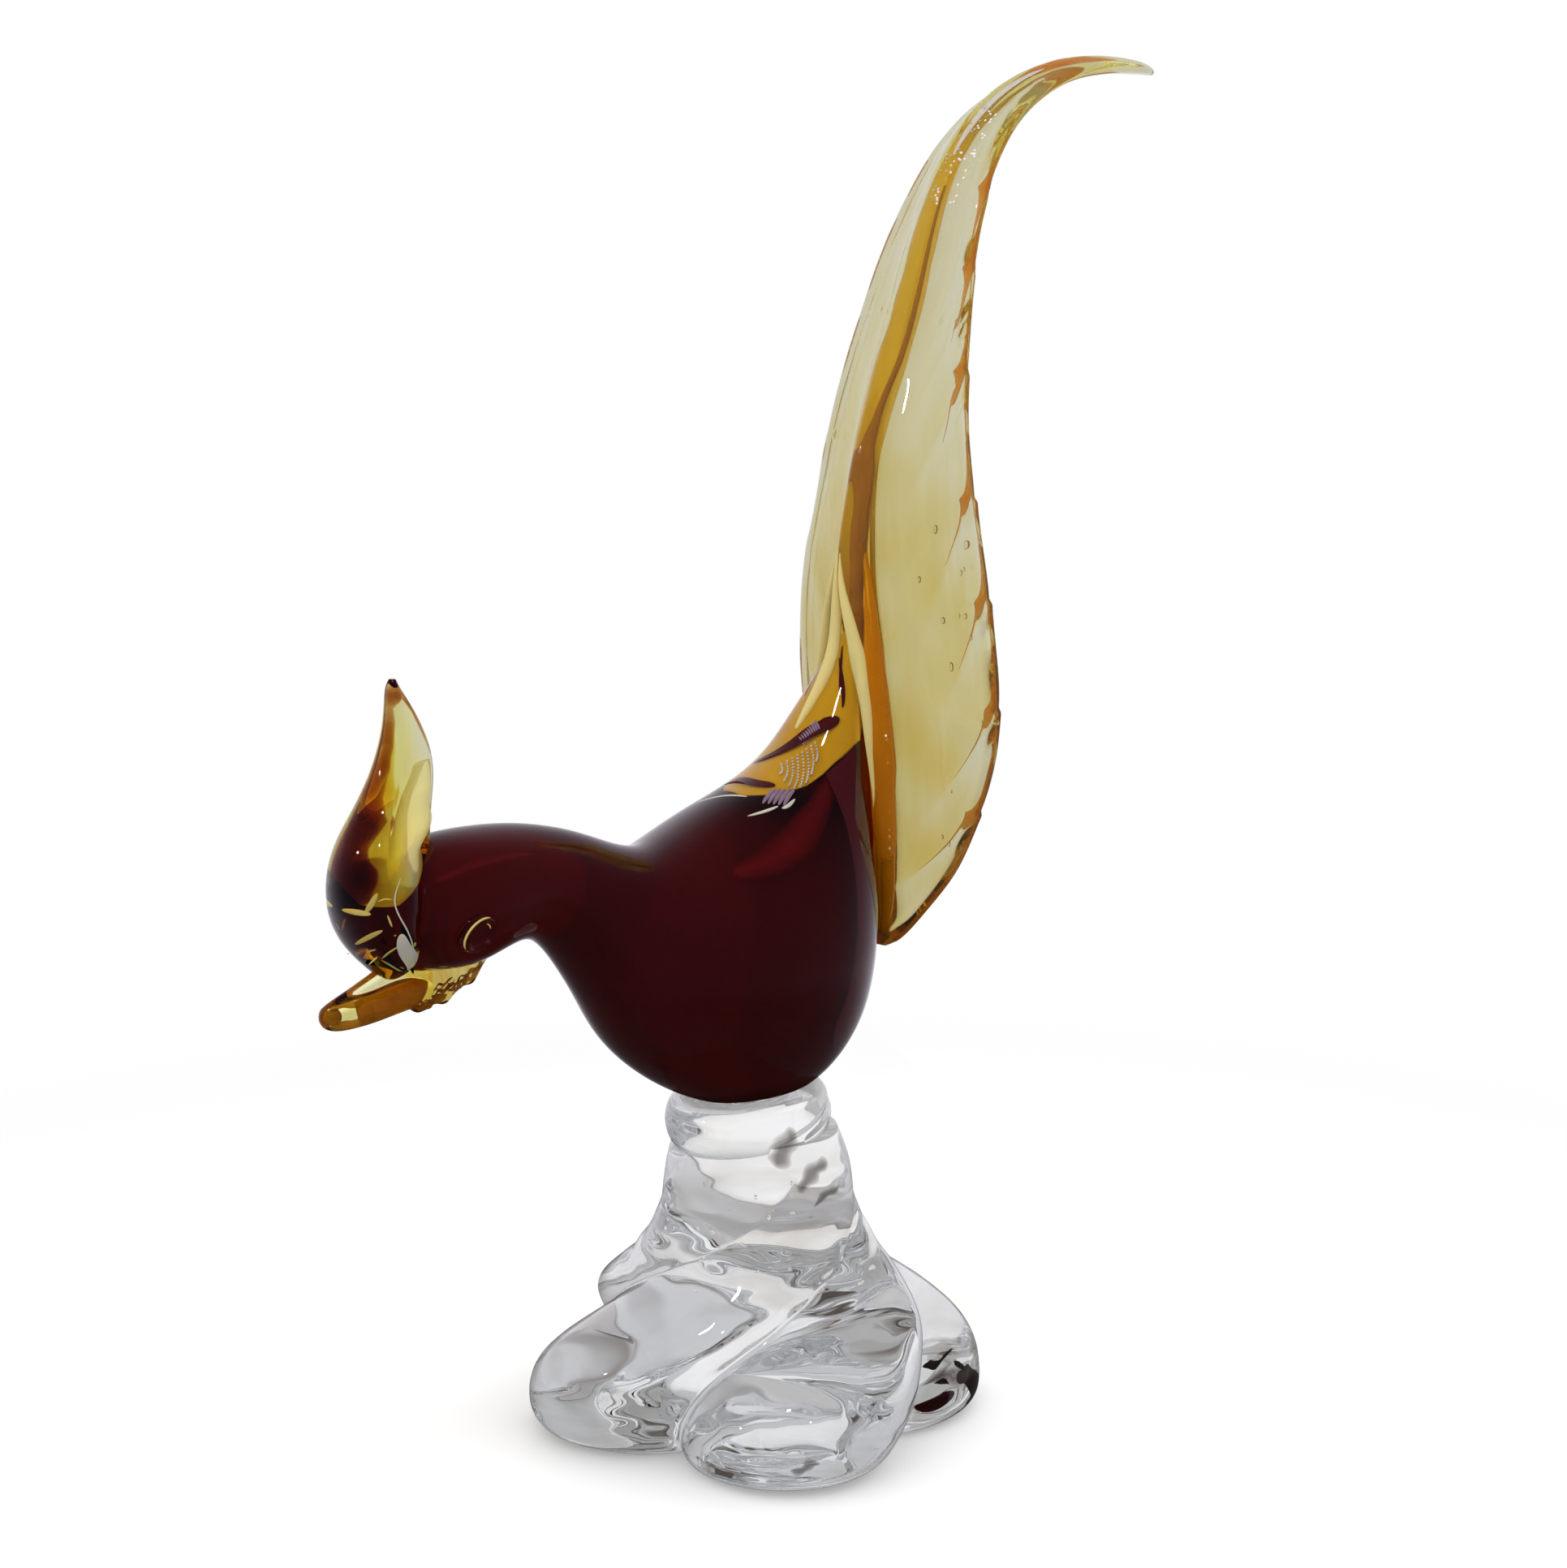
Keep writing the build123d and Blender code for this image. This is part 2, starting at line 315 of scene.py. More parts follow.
def finish_glass(tree, surface, loss):
    """Gives a glass its surface, and a volume that takes loss (red, green, blue) per metre."""
    most = max(loss)
    colour = [1 - part / most for part in loss] + [1]
    volume = add_node(tree, "VolumeAbsorption", {"Color": colour, "Density": most})
    add_node(tree, "OutputMaterial", {"Surface": surface, "Volume": volume.outputs[0]})


def striae(tree, stretch, size, shade, share):
    """Tint of the cords in hot-worked glass: long smears of a shade over part of the glass."""
    place = add_node(tree, "TexCoord").outputs["Object"]
    drawn = add_node(tree, "Mapping", {"Vector": place, "Scale": stretch, "Rotation": (0.35, 0.5, 0.2)})
    noise = {"Scale": 1 / size, "Detail": 3.0, "Roughness": 0.5, "Distortion": 1.2}
    cords = add_node(tree, "TexNoise", {"Vector": drawn.outputs[0], **noise})
    return colour_ramp(tree, cords.outputs["Fac"], [(share, shade), (share + 0.14, (1, 1, 1))])


def glass(name, loss, stretch, size, shade, share, milk=0.0, cream=(1, 1, 1), shy=False):
    """Solid coloured glass: a refracting skin that turns plain where it is fused into its
    neighbour, lets lamps through for shadows, and tints by the depth of glass. Milk is the
    share of light that a cream-coloured streak scatters. Shy glass is dark when it is seen
    mirrored in other glass."""
    material, tree = new_material(name)
    path = add_node(tree, "LightPath").outputs
    skin = {"Roughness": 0.0, "IOR": 1.5, "Transmission Weight": 1.0}
    skin["Base Color"] = striae(tree, stretch, size, shade, share)
    surface = add_node(tree, "BsdfPrincipled", skin).outputs[0]
    if milk:
        surface = mix_shaders(tree, milk, surface, plain_shader(tree, "BsdfDiffuse", cream))
    if shy:
        back = add_node(tree, "NewGeometry").outputs["Backfacing"]
        mirrored = maths(tree, "SUBTRACT", path["Is Reflection Ray"], back)
        first = maths(tree, "LESS_THAN", path["Ray Depth"], 1.5)
        dark = plain_shader(tree, "BsdfDiffuse", (0.05, 0.03, 0.03))
        surface = mix_shaders(tree, maths(tree, "MULTIPLY", mirrored, first), surface, dark)
    sunk = add_node(tree, "Attribute", attribute_name="sunk").outputs["Fac"]
    fused = maths(tree, "GREATER_THAN", sunk, 0.0)
    unseen = maths(tree, "MAXIMUM", fused, path["Is Shadow Ray"])
    plain = plain_shader(tree, "BsdfTransparent", (1, 1, 1))
    finish_glass(tree, mix_shaders(tree, unseen, surface, plain), loss)
    return material


def inner_glass(name, loss, cloud=(0, 0, 0), cloudiness=0.0, skin_tint=(1, 1, 1)):
    """Coloured glass wholly inside other glass: no skin of its own, only its tint. A cloud is
    the light that its boundary scatters back, and a skin tint a thin dense layer there."""
    material, tree = new_material(name)
    surface = plain_shader(tree, "BsdfTransparent", skin_tint)
    if cloudiness:
        surface = mix_shaders(tree, cloudiness, surface, plain_shader(tree, "BsdfDiffuse", cloud))
    finish_glass(tree, surface, loss)
    return material


# Glass with a skin: light lost per metre, then the stretch, size, shade and share of its cords
CLEAR = glass("clear_glass", (1.4, 1.3, 1.2), (1, 1, 2.2), 0.045, (0.74, 0.72, 0.68), 0.34, shy=True)
STRAW_CREAM = (0.62, 0.57, 0.30)
STRAW = glass("straw_glass", (5, 10, 70), (3, 3, 0.6), 0.03, (0.97, 0.94, 0.84), 0.38, 0.06, STRAW_CREAM)
LEMON = glass("lemon_glass", (6, 14, 140), (3, 3, 0.6), 0.02, (0.96, 0.90, 0.76), 0.38)
HONEY = glass("honey_glass", (35, 80, 330), (3, 3, 0.8), 0.01, (0.90, 0.72, 0.45), 0.40)
WELT_CREAM = (0.70, 0.60, 0.25)
CREAM = glass("cream_glass", (8, 18, 110), (2, 2, 0.6), 0.02, (0.97, 0.9, 0.7), 0.4, 0.72, WELT_CREAM)
CASING = glass("pale_amber_glass", (14, 48, 210), (1, 2, 2), 0.03, (0.94, 0.86, 0.74), 0.36)
RUST = (0.62, 0.22, 0.006)
COPPER = glass("copper_glass", (45, 180, 640), (2, 2, 0.5), 0.012, (0.8, 0.5, 0.3), 0.42, 0.50, RUST)

# Inner glass: light lost per metre, the colour and strength of its cloud, and for the ruby the
# tint of its skin
AMBER = inner_glass("amber_glass", (55, 150, 640))
ORANGE = inner_glass("orange_glass", (60, 330, 1200), (0.62, 0.21, 0.006), 0.45)
# Painted shade: dark brown glass for the patches where the clear foot refracts the dark room
PAINTED_SHADE_GLASS = inner_glass("painted_shade_glass", (24, 34, 46), (0.09, 0.06, 0.04), 0.08)
# Brown glass, on the crest's front also partly painted shade
BROWN_AND_SHADE = inner_glass("brown_and_shade_glass", (260, 560, 950))
SEPIA = inner_glass("sepia_glass", (80, 350, 1500), (0.38, 0.14, 0.003), 0.60)
# Painted highlight: pale pearly glass for the lines and glints of light in the mantle, the tail, the copper
# ropes and the cap
PAINTED_HIGHLIGHT = inner_glass("painted_highlight_glass", (2, 3, 5), (0.92, 0.88, 0.90), 0.80)
# Painted sheen: lilac where the tool marks mirror the bright room
LILAC_SHEEN = inner_glass("painted_lilac_sheen_glass", (2, 3, 2), (0.42, 0.30, 0.50), 0.65)
GOLD = inner_glass("gold_glass", (30, 90, 420), (0.70, 0.40, 0.025), 0.86)
# Painted highlights: the glints in the crest's cap, and the crescent and bright line on each eye
PAINTED_GLINT = inner_glass("painted_glint_glass", (6, 12, 70), (0.78, 0.62, 0.20), 0.78)
RIB_GOLD = inner_glass("rib_gold_glass", (18, 60, 700), (0.72, 0.42, 0.010), 0.58)
# Dark ruby: the dark glass in the body's middle and flanks, and also painted reflections of the ruby in the
# mantle and painted shade round each eye
DARK_RUBY_AND_SHADE = inner_glass("dark_ruby_and_painted_shade_glass", (200, 900, 900), (0.058, 0.006, 0.009), 0.90)
RUBY = inner_glass("ruby_glass", (14, 120, 110), (0.100, 0.006, 0.015), 0.34, (0.29, 0.008, 0.02))
# Painted glow: brighter ruby where light shines through, also the painted highlight line on the neck
PAINTED_GLOW = inner_glass("painted_ruby_glow_glass", (14, 120, 110), (0.15, 0.004, 0.010), 0.045)
PRIMROSE = inner_glass("primrose_glass", (3, 6, 30), (0.86, 0.78, 0.36), 0.50)

# ---- Body: casing and ruby core ----

# x and z on the back, x and z on the belly, half width; sections fan round the nook of the neck
BODY = [
    (-104.0, 141.8, -104.0, 139.8, 1.2),
    (-102.5, 146.0, -103.0, 134.5, 6.5),
    (-98.0, 152.4, -99.5, 128.5, 11.5),
    (-90.0, 156.3, -91.5, 126.0, 14.4),
    (-78.0, 157.4, -80.0, 126.3, 15.0),
    (-65.0, 156.6, -69.0, 129.6, 13.8),
    (-52.0, 153.6, -60.6, 127.4, 13.4),
    (-41.5, 149.6, -53.6, 119.2, 15.4),
    (-33.5, 147.8, -47.6, 109.8, 19.2),
    (-27.0, 149.0, -41.0, 99.8, 23.8),
    (-20.0, 151.8, -30.4, 90.4, 27.6),
    (-12.0, 155.6, -15.0, 82.8, 29.8),
    (-4.0, 159.6, 1.8, 81.2, 29.8),
    (3.2, 163.8, 15.0, 86.8, 27.8),
    (9.0, 168.6, 24.0, 98.6, 24.0),
    (13.6, 174.2, 27.6, 113.4, 19.8),
    (17.4, 179.6, 28.4, 130.2, 15.8),
    (20.7, 184.6, 28.4, 147.0, 12.0),
    (23.4, 189.4, 28.2, 164.0, 8.6),
    (25.4, 193.2, 28.0, 179.0, 5.4),
    (27.2, 196.4, 27.6, 193.4, 1.2),
]
CASING_WALL = 2.6
# share of each section's chord, from the back, that is solid amber above the ruby
CORE_DROP = [
    0, 0.11, 0.085, 0.08, 0.09, 0.09, 0.073, 0.06, 0.05, 0.05, 0.055, 0.08, 0.12, 0.18, 0.27, 0.40, 0.58,
]
CORE_ENDS = (-96.5, 141.5), (27.0, 168.5)


def chords(rows):
    """The back and belly ends of the chords in the XZ plane, which the sections stand on."""
    flat = 0 * rows[:, 0]
    return np.stack([rows[:, 0], flat, rows[:, 1]], 1), np.stack([rows[:, 2], flat, rows[:, 3]], 1)


def chord_rings(rows, around):
    """Elliptic rings on chords."""
    turn = circle(around)[None, :, None]
    back, belly = chords(rows)
    middle, half = (back + belly) / 2, (back - belly) / 2
    sideways = np.sin(turn) * rows[:, 4][:, None, None] * SIDEWAYS
    return middle[:, None] + np.cos(turn) * half[:, None] + sideways


def pimples(points, normals, spots, radius, height):
    """Points raised along their normals by a small round bump at each spot."""
    rise = np.zeros(points.shape[:-1])
    for spot in spots:
        distance = ((points - np.array(spot)) ** 2).sum(-1)
        rise += height * np.exp(-distance / radius**2)
    return points + rise[..., None] * normals


def build_casing():
    """The pale skin of the head, neck and body, with closer sections under the tail's wraps."""
    parts = (0, 11, 130), (11, 17.5, 300), (17.5, 20, 40)
    steps = np.concatenate([np.linspace(*part)[:-1] for part in parts] + [[20]])
    rings = chord_rings(spline(BODY, steps), 400)
    rings = seat(rings, "body_casing", "xXyYzZ")
    outwards = rings - rings.mean(1, keepdims=True)
    rings += (0.35 * waves(rings, 34, SEED + 50))[..., None] * outwards / lengths(outwards)
    return piece("casing", [ring_mesh(rings)], CASING, ["body_casing"])


def core_rows():
    """Sections of the ruby core: the body's, less the casing's wall and the amber over the back,
    with shorter ones at the head and a tip at each end."""
    rows = []
    for row, drop in zip(BODY[1:17], CORE_DROP[1:]):
        back, belly = np.array(row[0:2]), np.array(row[2:4])
        length = np.linalg.norm(back - belly)
        wall = CASING_WALL / length
        narrowing = min(1.0, 1.6 - drop - wall) * math.sqrt(1 - (drop - wall) ** 2)
        top = back + (belly - back) * drop
        bottom = belly + (back - belly) * wall
        rows.append((*top, *bottom, (row[4] - CASING_WALL) * narrowing))
    rows = rows[1:]
    for i, share in enumerate((0.6, 0.85)):
        back, belly, half = np.array(rows[i][0:2]), np.array(rows[i][2:4]), rows[i][4]
        middle = (back + belly) / 2
        rows[i] = (*(middle + (back - middle) * share), *(middle + (belly - middle) * share), half * share)
    (head_x, head_z), (tip_x, tip_z) = CORE_ENDS
    first = (head_x, head_z + 1, head_x, head_z - 1, 0.8)
    last = (tip_x - 0.3, tip_z + 0.5, tip_x + 0.3, tip_z - 1.5, 0.6)
    return [first, *rows, last]


def build_core():
    """The ruby glass within the casing."""
    rings = seat(chord_rings(smooth_rows(core_rows(), 200), 160), "body_core", "XyYzZ")
    piece("ruby_core", [ring_mesh(rings)], RUBY, ["body_core"])


def body_skin(steps, turns, depth):
    """Places depth mm under the body's surface, by section and degrees from the back, and the
    outward directions there. Negative turns are the bird's left."""
    rows = spline(BODY, np.asarray(steps, float))
    back, belly = chords(rows)
    middle, half = (back + belly) / 2, (back - belly) / 2
    angle = np.radians(turns)[:, None]
    up = half / lengths(half) ** 2
    side = SIDEWAYS * rows[:, 4][:, None]
    place = middle + np.cos(angle) * half + np.sin(angle) * side
    outwards = np.cos(angle) * up + np.sin(angle) * SIDEWAYS / rows[:, 4][:, None]
    outwards /= lengths(outwards)
    return place - depth * outwards, outwards


def body_strand(path, wide, depth=0.8, thick=0.2):
    """A flat leaf of glass under the body's surface along (section, degrees) places."""
    t = np.linspace(0, 1, 70)
    rows = spline(path, t * (len(path) - 1))
    centres, normals = body_skin(rows[:, 0], rows[:, 1], depth)
    size = taper(t, 2, 0.002)
    return thread(centres, normals, wide * size, thick * size + 0.02)


def body_sheet(steps, starts, ends, depth, thick):
    """A sheet of glass that follows the body's surface between two angles at each section."""
    rings = []
    for step, start, end in zip(steps, starts, ends):
        turns = np.linspace(start, end, 81)
        outer = body_skin(step + 0 * turns, turns, depth)[0]
        inner = body_skin(step + 0 * turns, turns, depth + thick)[0]
        rings.append(np.vstack([outer, inner[::-1]]))
    return ring_mesh(np.array(rings))


def dark_curtain():
    """A leaf of dark glass upright in the middle of the body, between the ruby and the back."""
    rows = spline(BODY, np.linspace(12.6, 17.6, 90))
    back, belly = chords(rows)
    share = np.linspace(0.10, 0.66, 24)[None, :, None]
    line = back[:, None] + share * (belly - back)[:, None]
    half = 0.4 * SIDEWAYS
    return ring_mesh(np.concatenate([line - half, (line + half)[:, ::-1]], axis=1))


def seed(centre, normal, radius, stretch=1.3):
    """A pale dot of glass, longest along its normal, used for painted highlights."""
    points, faces = bubble(centre, radius, stretch, normal)
    return points, [f[::-1] for f in faces]


# section of the body and the degrees from the back that the gold mantle reaches down to
MANTLE = [
    (11.7, 8), (12.1, 16), (12.7, 23), (13.3, 29), (14.1, 35), (15.1, 45), (16.3, 62), (17.2, 80),
    (18.2, 96), (19.0, 104), (19.7, 104),
]


def build_mantle():
    """Sheet of gold glass over the back, from the tail down to the ruby's edge."""
    steps, reach = along_table(MANTLE, 170)
    sheet = body_sheet(steps, -reach[:, 0], reach[:, 0], 1.2, 0.5)
    piece("mantle_gold", [sheet], GOLD, ["body_casing"])


# section of the body, degrees from the back where the dark glass of the flank starts and ends
DARK_FLANK = [
    (12.4, 116, 124), (12.9, 100, 150), (13.5, 78, 150), (13.9, 58, 150), (14.1, 36, 150), (14.24, 37, 100),
    (14.5, 39.5, 91), (14.8, 42.5, 82), (15.1, 45.5, 76.5), (15.5, 50, 68), (15.8, 54, 62), (16.05, 57.5, 60),
]


# paths under the body's skin, as (section, degrees from the back), each with its half width
# the dark lenses are painted reflections of the ruby in the mantle's gold
PAINTED_REFLECTIONS = [
    ([(13.1, 15), (13.55, 2), (14.6, -12), (15.3, -24), (15.98, -35.5)], 2.3),
    ([(12.1, 22), (12.2, 8), (12.25, -6), (12.54, -16.5)], 1.9),
    ([(17.9, -15), (17.06, -33), (16.4, -37.5)], 0.5),
    ([(18.6, -14), (17.5, -24), (16.7, -31)], 0.35),
    ([(17.6, 30), (16.8, 24), (16.0, 16)], 0.6),
    ([(13.2, 30), (14.4, 38), (15.4, 40)], 1.6),
]
# pearly lines of painted highlight in the mantle
HIGHLIGHT_LINES = [
    ([(11.05, 15), (11.35, 2), (11.69, -11.5)], 0.5),
    ([(11.28, -21.5), (11.75, -24.6), (12.15, -26.5)], 0.45),
    ([(12.2, -28.4), (12.39, -29.5), (12.7, -29.3)], 0.5),
]
# the band of painted glow in the ruby, and the painted highlight line along the neck
GLOW_PATH = [(14.43, -40), (12.84, -41.5), (12.39, -43), (11.38, -45), (10.3, -44.5)]
NECK_PATH = [(2.7, -56), (2.95, -54.5), (3.5, -50), (4.25, -48), (4.8, -48)]
MARK_DEPTH = 0.45


def build_reflections_and_dark_glass():
    """Dark lenses in the mantle, painted reflections of the ruby, and the dark glass in the middle of the
    body and its flanks.
    """
    shells = [body_strand(path, wide) for path, wide in PAINTED_REFLECTIONS]
    shells.append(dark_curtain())
    table = np.array(DARK_FLANK)
    steps = np.linspace(table[0, 0], table[-1, 0], 160)
    for side in (-1, 1):
        starts, ends = (side * np.interp(steps, table[:, 0], table[:, k]) for k in (1, 2))
        shells.append(body_sheet(steps, starts, ends, 0.5, 0.35))
    piece("mantle_reflections_and_dark_glass", shells, DARK_RUBY_AND_SHADE, ["body_casing"])


def build_tool_marks():
    """Ridges that a toothed tool left over the lenses, in a painted lilac sheen: short bars, and hooks nearer
    the neck.
    """
    paths = []
    for i in range(9):
        step, turn = 15.06 - 0.098 * i, -17.5 + 0.75 * i
        paths.append(([(step + 0.05, turn + 4), (step, turn), (step - 0.1, turn - 4)], 0.3))
    for i in range(5):
        step, turn = 12.45 + 0.11 * i, -18.0 - 1.9 * i
        paths.append(([(step, turn), (step - 0.3, turn - 0.6), (step - 0.6, turn - 2.5)], 0.55))
    shells = [body_strand(path, wide, MARK_DEPTH) for path, wide in paths]
    piece("mantle_ridges", shells, LILAC_SHEEN, ["body_casing"])


def build_print_highlights():
    """Painted highlights in the mantle: pearly lines, and rows of dots where the tool print catches the
    light, the rows longest in the middle of the print.
    """
    shells = [body_strand(path, wide, MARK_DEPTH) for path, wide in HIGHLIGHT_LINES]
    for column in range(8):
        bulge = 1 - ((column - 3.3) / 4.6) ** 2
        count = 5 + int(8 * bulge)
        for row in range(count):
            share = row / count
            step = 14.51 - 0.187 * column - 0.95 * bulge * share
            turn = -21.5 + 1.8 * column - 11.5 * bulge * share - 2.0 * math.sin(math.pi * share)
            centres, normals = body_skin([step], [turn], MARK_DEPTH)
            shells.append(seed(centres[0], normals[0], 0.29))
    piece("mantle_print_highlights", shells, PAINTED_HIGHLIGHT, ["body_casing"])


def build_ruby_glow():
    """A painted glow: a bright band in the ruby under the mantle, and a painted highlight of a soft line on
    the neck, in nested layers.
    """
    layers = zip(np.linspace(4.4, 0.8, 7), np.linspace(2.5, 1.3, 7))
    bands = [body_strand(GLOW_PATH, wide, depth, 0.15) for wide, depth in layers]
    bands += [body_strand(NECK_PATH, wide, 1.0, 0.1) for wide in (1.0, 0.75, 0.5, 0.3)]
    piece("ruby_glow", bands, PAINTED_GLOW, ["body_core"])


# ---- Tail ----

# spine x and z, vane span, rib depth, sweep as a slope, vane thickness
TAIL = [
    (36.8, 114.6, 2.8, 5.0, 0.04, 1.8),
    (37.5, 118.0, 8.5, 8.7, 0.07, 2.8),
    (38.2, 125.5, 15.8, 9.9, 0.09, 3.4),
    (38.4, 135.0, 24.0, 10.5, 0.11, 3.6),
    (38.4, 148.0, 31.5, 10.5, 0.12, 3.6),
    (37.2, 168.0, 38.5, 10.0, 0.15, 3.6),
    (34.6, 189.0, 38.8, 9.5, 0.20, 3.6),
    (32.9, 209.0, 35.6, 8.5, 0.25, 3.5),
    (33.8, 229.0, 30.3, 8.0, 0.28, 3.4),
    (37.6, 248.0, 25.8, 7.2, 0.23, 3.3),
    (44.0, 267.0, 21.6, 6.4, 0.14, 3.2),
    (50.0, 285.5, 17.6, 5.8, 0.11, 3.1),
    (57.4, 302.5, 13.8, 5.2, 0.17, 3.0),
    (69.0, 316.8, 10.4, 4.8, 0.23, 3.0),
    (85.8, 325.8, 7.2, 4.2, 0.27, 3.0),
    (103.0, 328.6, 4.6, 3.2, 0.25, 2.8),
    (115.5, 328.4, 3.0, 2.3, 0.18, 2.4),
    (121.0, 327.6, 1.2, 1.1, 0.07, 1.3),
]
RIB_HALF_WIDTH = 5.6
NEAR_NOTCHES = np.array([152, 177, 203, 228, 258, 281, 300.0])  # heights of the rim notches, mm
FAR_NOTCHES = np.array([160, 187, 214, 240, 268, 290.0])
# mm inwards from the rim for each mm down a barb line, by height
SLOPE_HEIGHTS, BARB_SLOPES = (152, 228, 258, 283, 300), (0.60, 0.60, 0.38, 0.22, 0.12)


class TailFrame:
    """The tail's spine, directions and grid of places across both vanes, all in mm."""

    def __init__(self, steps, share):
        rows = spline(TAIL, steps)
        self.spine = np.stack([rows[:, 0], 0 * steps, rows[:, 1]], 1)
        ahead, behind = spline(TAIL, steps + 0.01), spline(TAIL, steps - 0.01)
        along = np.stack([ahead[:, 0] - behind[:, 0], 0 * steps, ahead[:, 1] - behind[:, 1]], 1)
        self.along = along / lengths(along)
        self.front = np.stack([-self.along[:, 2], 0 * steps, self.along[:, 0]], 1)
        self.height = rows[:, 1][:, None] + 0 * share
        self.span = rows[:, 2][:, None] + 0 * share
        self.rib = rows[:, 3][:, None]
        self.slope = rows[:, 4][:, None]
        self.thick = rows[:, 5][:, None] / 2
        self.share = share[None, :] + 0 * self.height
        self.near = self.share < 0
        self.room = ramp(self.span, 3, 12)

    def fold(self, side):
        return -self.slope * (np.sqrt(side**2 + 4) - 2)

    def place(self, x, rise):
        """Points at x across the tail and rise towards its front."""
        across = self.spine[:, None] + x[..., None] * SIDEWAYS
        return across + rise[..., None] * self.front[:, None]


def barb_lines(height, inwards, notches):
    """For each place, mm above the barb line below it and mm under the barb line above it.
    Lines start at the rim notches and run inwards and down."""
    slope = np.interp(height, SLOPE_HEIGHTS, BARB_SLOPES)
    level = height + inwards / slope
    edges = np.concatenate([[-1e3], notches, [1e3]])
    index = np.clip(np.searchsorted(notches, level), 0, len(notches))
    return (level - edges[index]) * slope, (edges[index + 1] - level) * slope


def both_vanes(grid, inwards):
    """The barb lines' distances with the near vane's notches on one side and the far one's on
    the other."""
    near = barb_lines(grid.height, inwards, NEAR_NOTCHES)
    far = barb_lines(grid.height, inwards, FAR_NOTCHES)
    return [np.where(grid.near, a, b) for a, b in zip(near, far)]


def rib_rise(grid):
    """Height of the rib over the vanes: full behind the body, lower and softer above it."""
    return grid.rib * (1 - 0.60 * ramp(grid.height[:, :1], 188, 250))


def pleats(above, below, high, low, blur):
    """Overlapping barbs: each swells by high under the barb line over it, and is pressed in by
    low just over the line under it, with the step between the two blurred."""
    over = high * np.exp(-below / 4.5) * (1 - ramp(-below, -blur, blur))
    over += -low * ramp(-below, -blur, blur)
    under = -low * np.exp(-above / 2.2) * ramp(above, -blur, blur)
    under += high * (1 - ramp(above, -blur, blur))
    return over + under


# height, mm in from the rim and side of the pimples on the tail's front
PIMPLES = [
    (270, 11, 1), (268, 8, -1), (262, 6, -1), (233, 14, -1), (211, 9, -1), (196, 7, -1),
    (186, 5, -1), (176, 4, -1), (240, 6, 1), (222, 20, -1), (214, 16, -1),
]


def tail_spots():
    """Places of the pimples on the tail's front."""
    spots = []
    for height, inwards, sign in PIMPLES:
        centres, normals = vane_path(np.array([float(height)]), np.array([float(inwards)]), sign)
        spots.append(centres[0] + 1.9 * normals[0])
    return spots


def tail_pebbles():
    """Places and normals of the pebbled tool print near the top of the tail's front."""
    rng = np.random.default_rng(SEED + 12)
    for _ in range(58):
        step = rng.uniform(11.5, 13.0)
        share = np.array([rng.uniform(-0.62, 0.02) - 0.08 * (step - 12)])
        grid = TailFrame(np.array([step]), share)
        x = grid.share * grid.span
        rise = 1.1 + rib_rise(grid) * np.exp(-((x / (0.5 * grid.span)) ** 2))
        yield grid.place(x, rise)[0, 0], grid.front[0]


def vane_faces(grid):
    """Points over the tail's front and its rear: pleats that fade inwards from the notched rims,
    a bead along each rim, and the rounded rib between."""
    rim_above, rim_below = both_vanes(grid, 0 * grid.height)
    boldness = np.where(grid.near, 1.0, 0.25)
    span = grid.span + pleats(rim_above, rim_below, 0.5, 0.4, 0.5) * grid.room * boldness
    x = grid.share * span
    side = np.abs(x)
    inwards = np.clip(span - side, 0, None)
    fade = boldness * np.exp(-((inwards / 14) ** 2)) * grid.room * ramp(side, 5, 11)
    pleat = pleats(*both_vanes(grid, inwards), 0.45, 0.3, 2.2) * fade
    rim = arch(grid.share, np.clip(1.6 * span / grid.thick, 3, 40))
    bead = 0.55 * np.exp(-(((inwards - 1.8) / 1.4) ** 2)) * grid.room
    rib = rib_rise(grid) * np.exp(-((side / np.minimum(RIB_HALF_WIDTH, 0.5 * span)) ** 2))
    flat = grid.place(x, 0 * x)
    soft, fine = waves(flat, 30, SEED), waves(flat, 9, SEED + 3)
    front = grid.fold(side) + (grid.thick + bead + rib + 0.22 * soft + 0.05 * fine + pleat) * rim
    rear = grid.fold(side) - (grid.thick + 0.5 * bead + 0.18 * soft - 0.25 * pleat) * rim
    face = grid.place(x, front)
    face = pimples(face, grid.front[:, None] + 0 * face, tail_spots(), 0.75, 0.40)
    return face, grid.place(x, rear)


def tail_bubbles(rings, grid):
    """Seed bubbles between the tail's front and its rear, drawn out along it."""
    rng = np.random.default_rng(SEED)
    for _ in range(14):
        i = rng.integers(60, 240)
        j = rng.integers(28, 70)
        centre = (rings[i, j] + rings[i, -j]) / 2
        size = rng.uniform(0.3, 0.6)
        yield bubble(centre, size, rng.uniform(1.2, 2.2), grid.along[i])


def build_tail_fan():
    """The tail's own glass: two pleated vanes folded back from a rounded rib."""
    steps = np.concatenate([np.linspace(0, 3, 50)[:-1], np.linspace(3, 17, 560)])
    grid = TailFrame(steps, np.sin(math.pi / 2 * np.linspace(-1, 1, 193)))
    face, rear = vane_faces(grid)
    rings = seat(np.concatenate([face, rear[:, -2:0:-1]], axis=1), "tail", "XzZ")
    shells = [ring_mesh(rings), *tail_bubbles(rings, grid)]
    return piece("tail_fan", shells, STRAW, ["tail"])


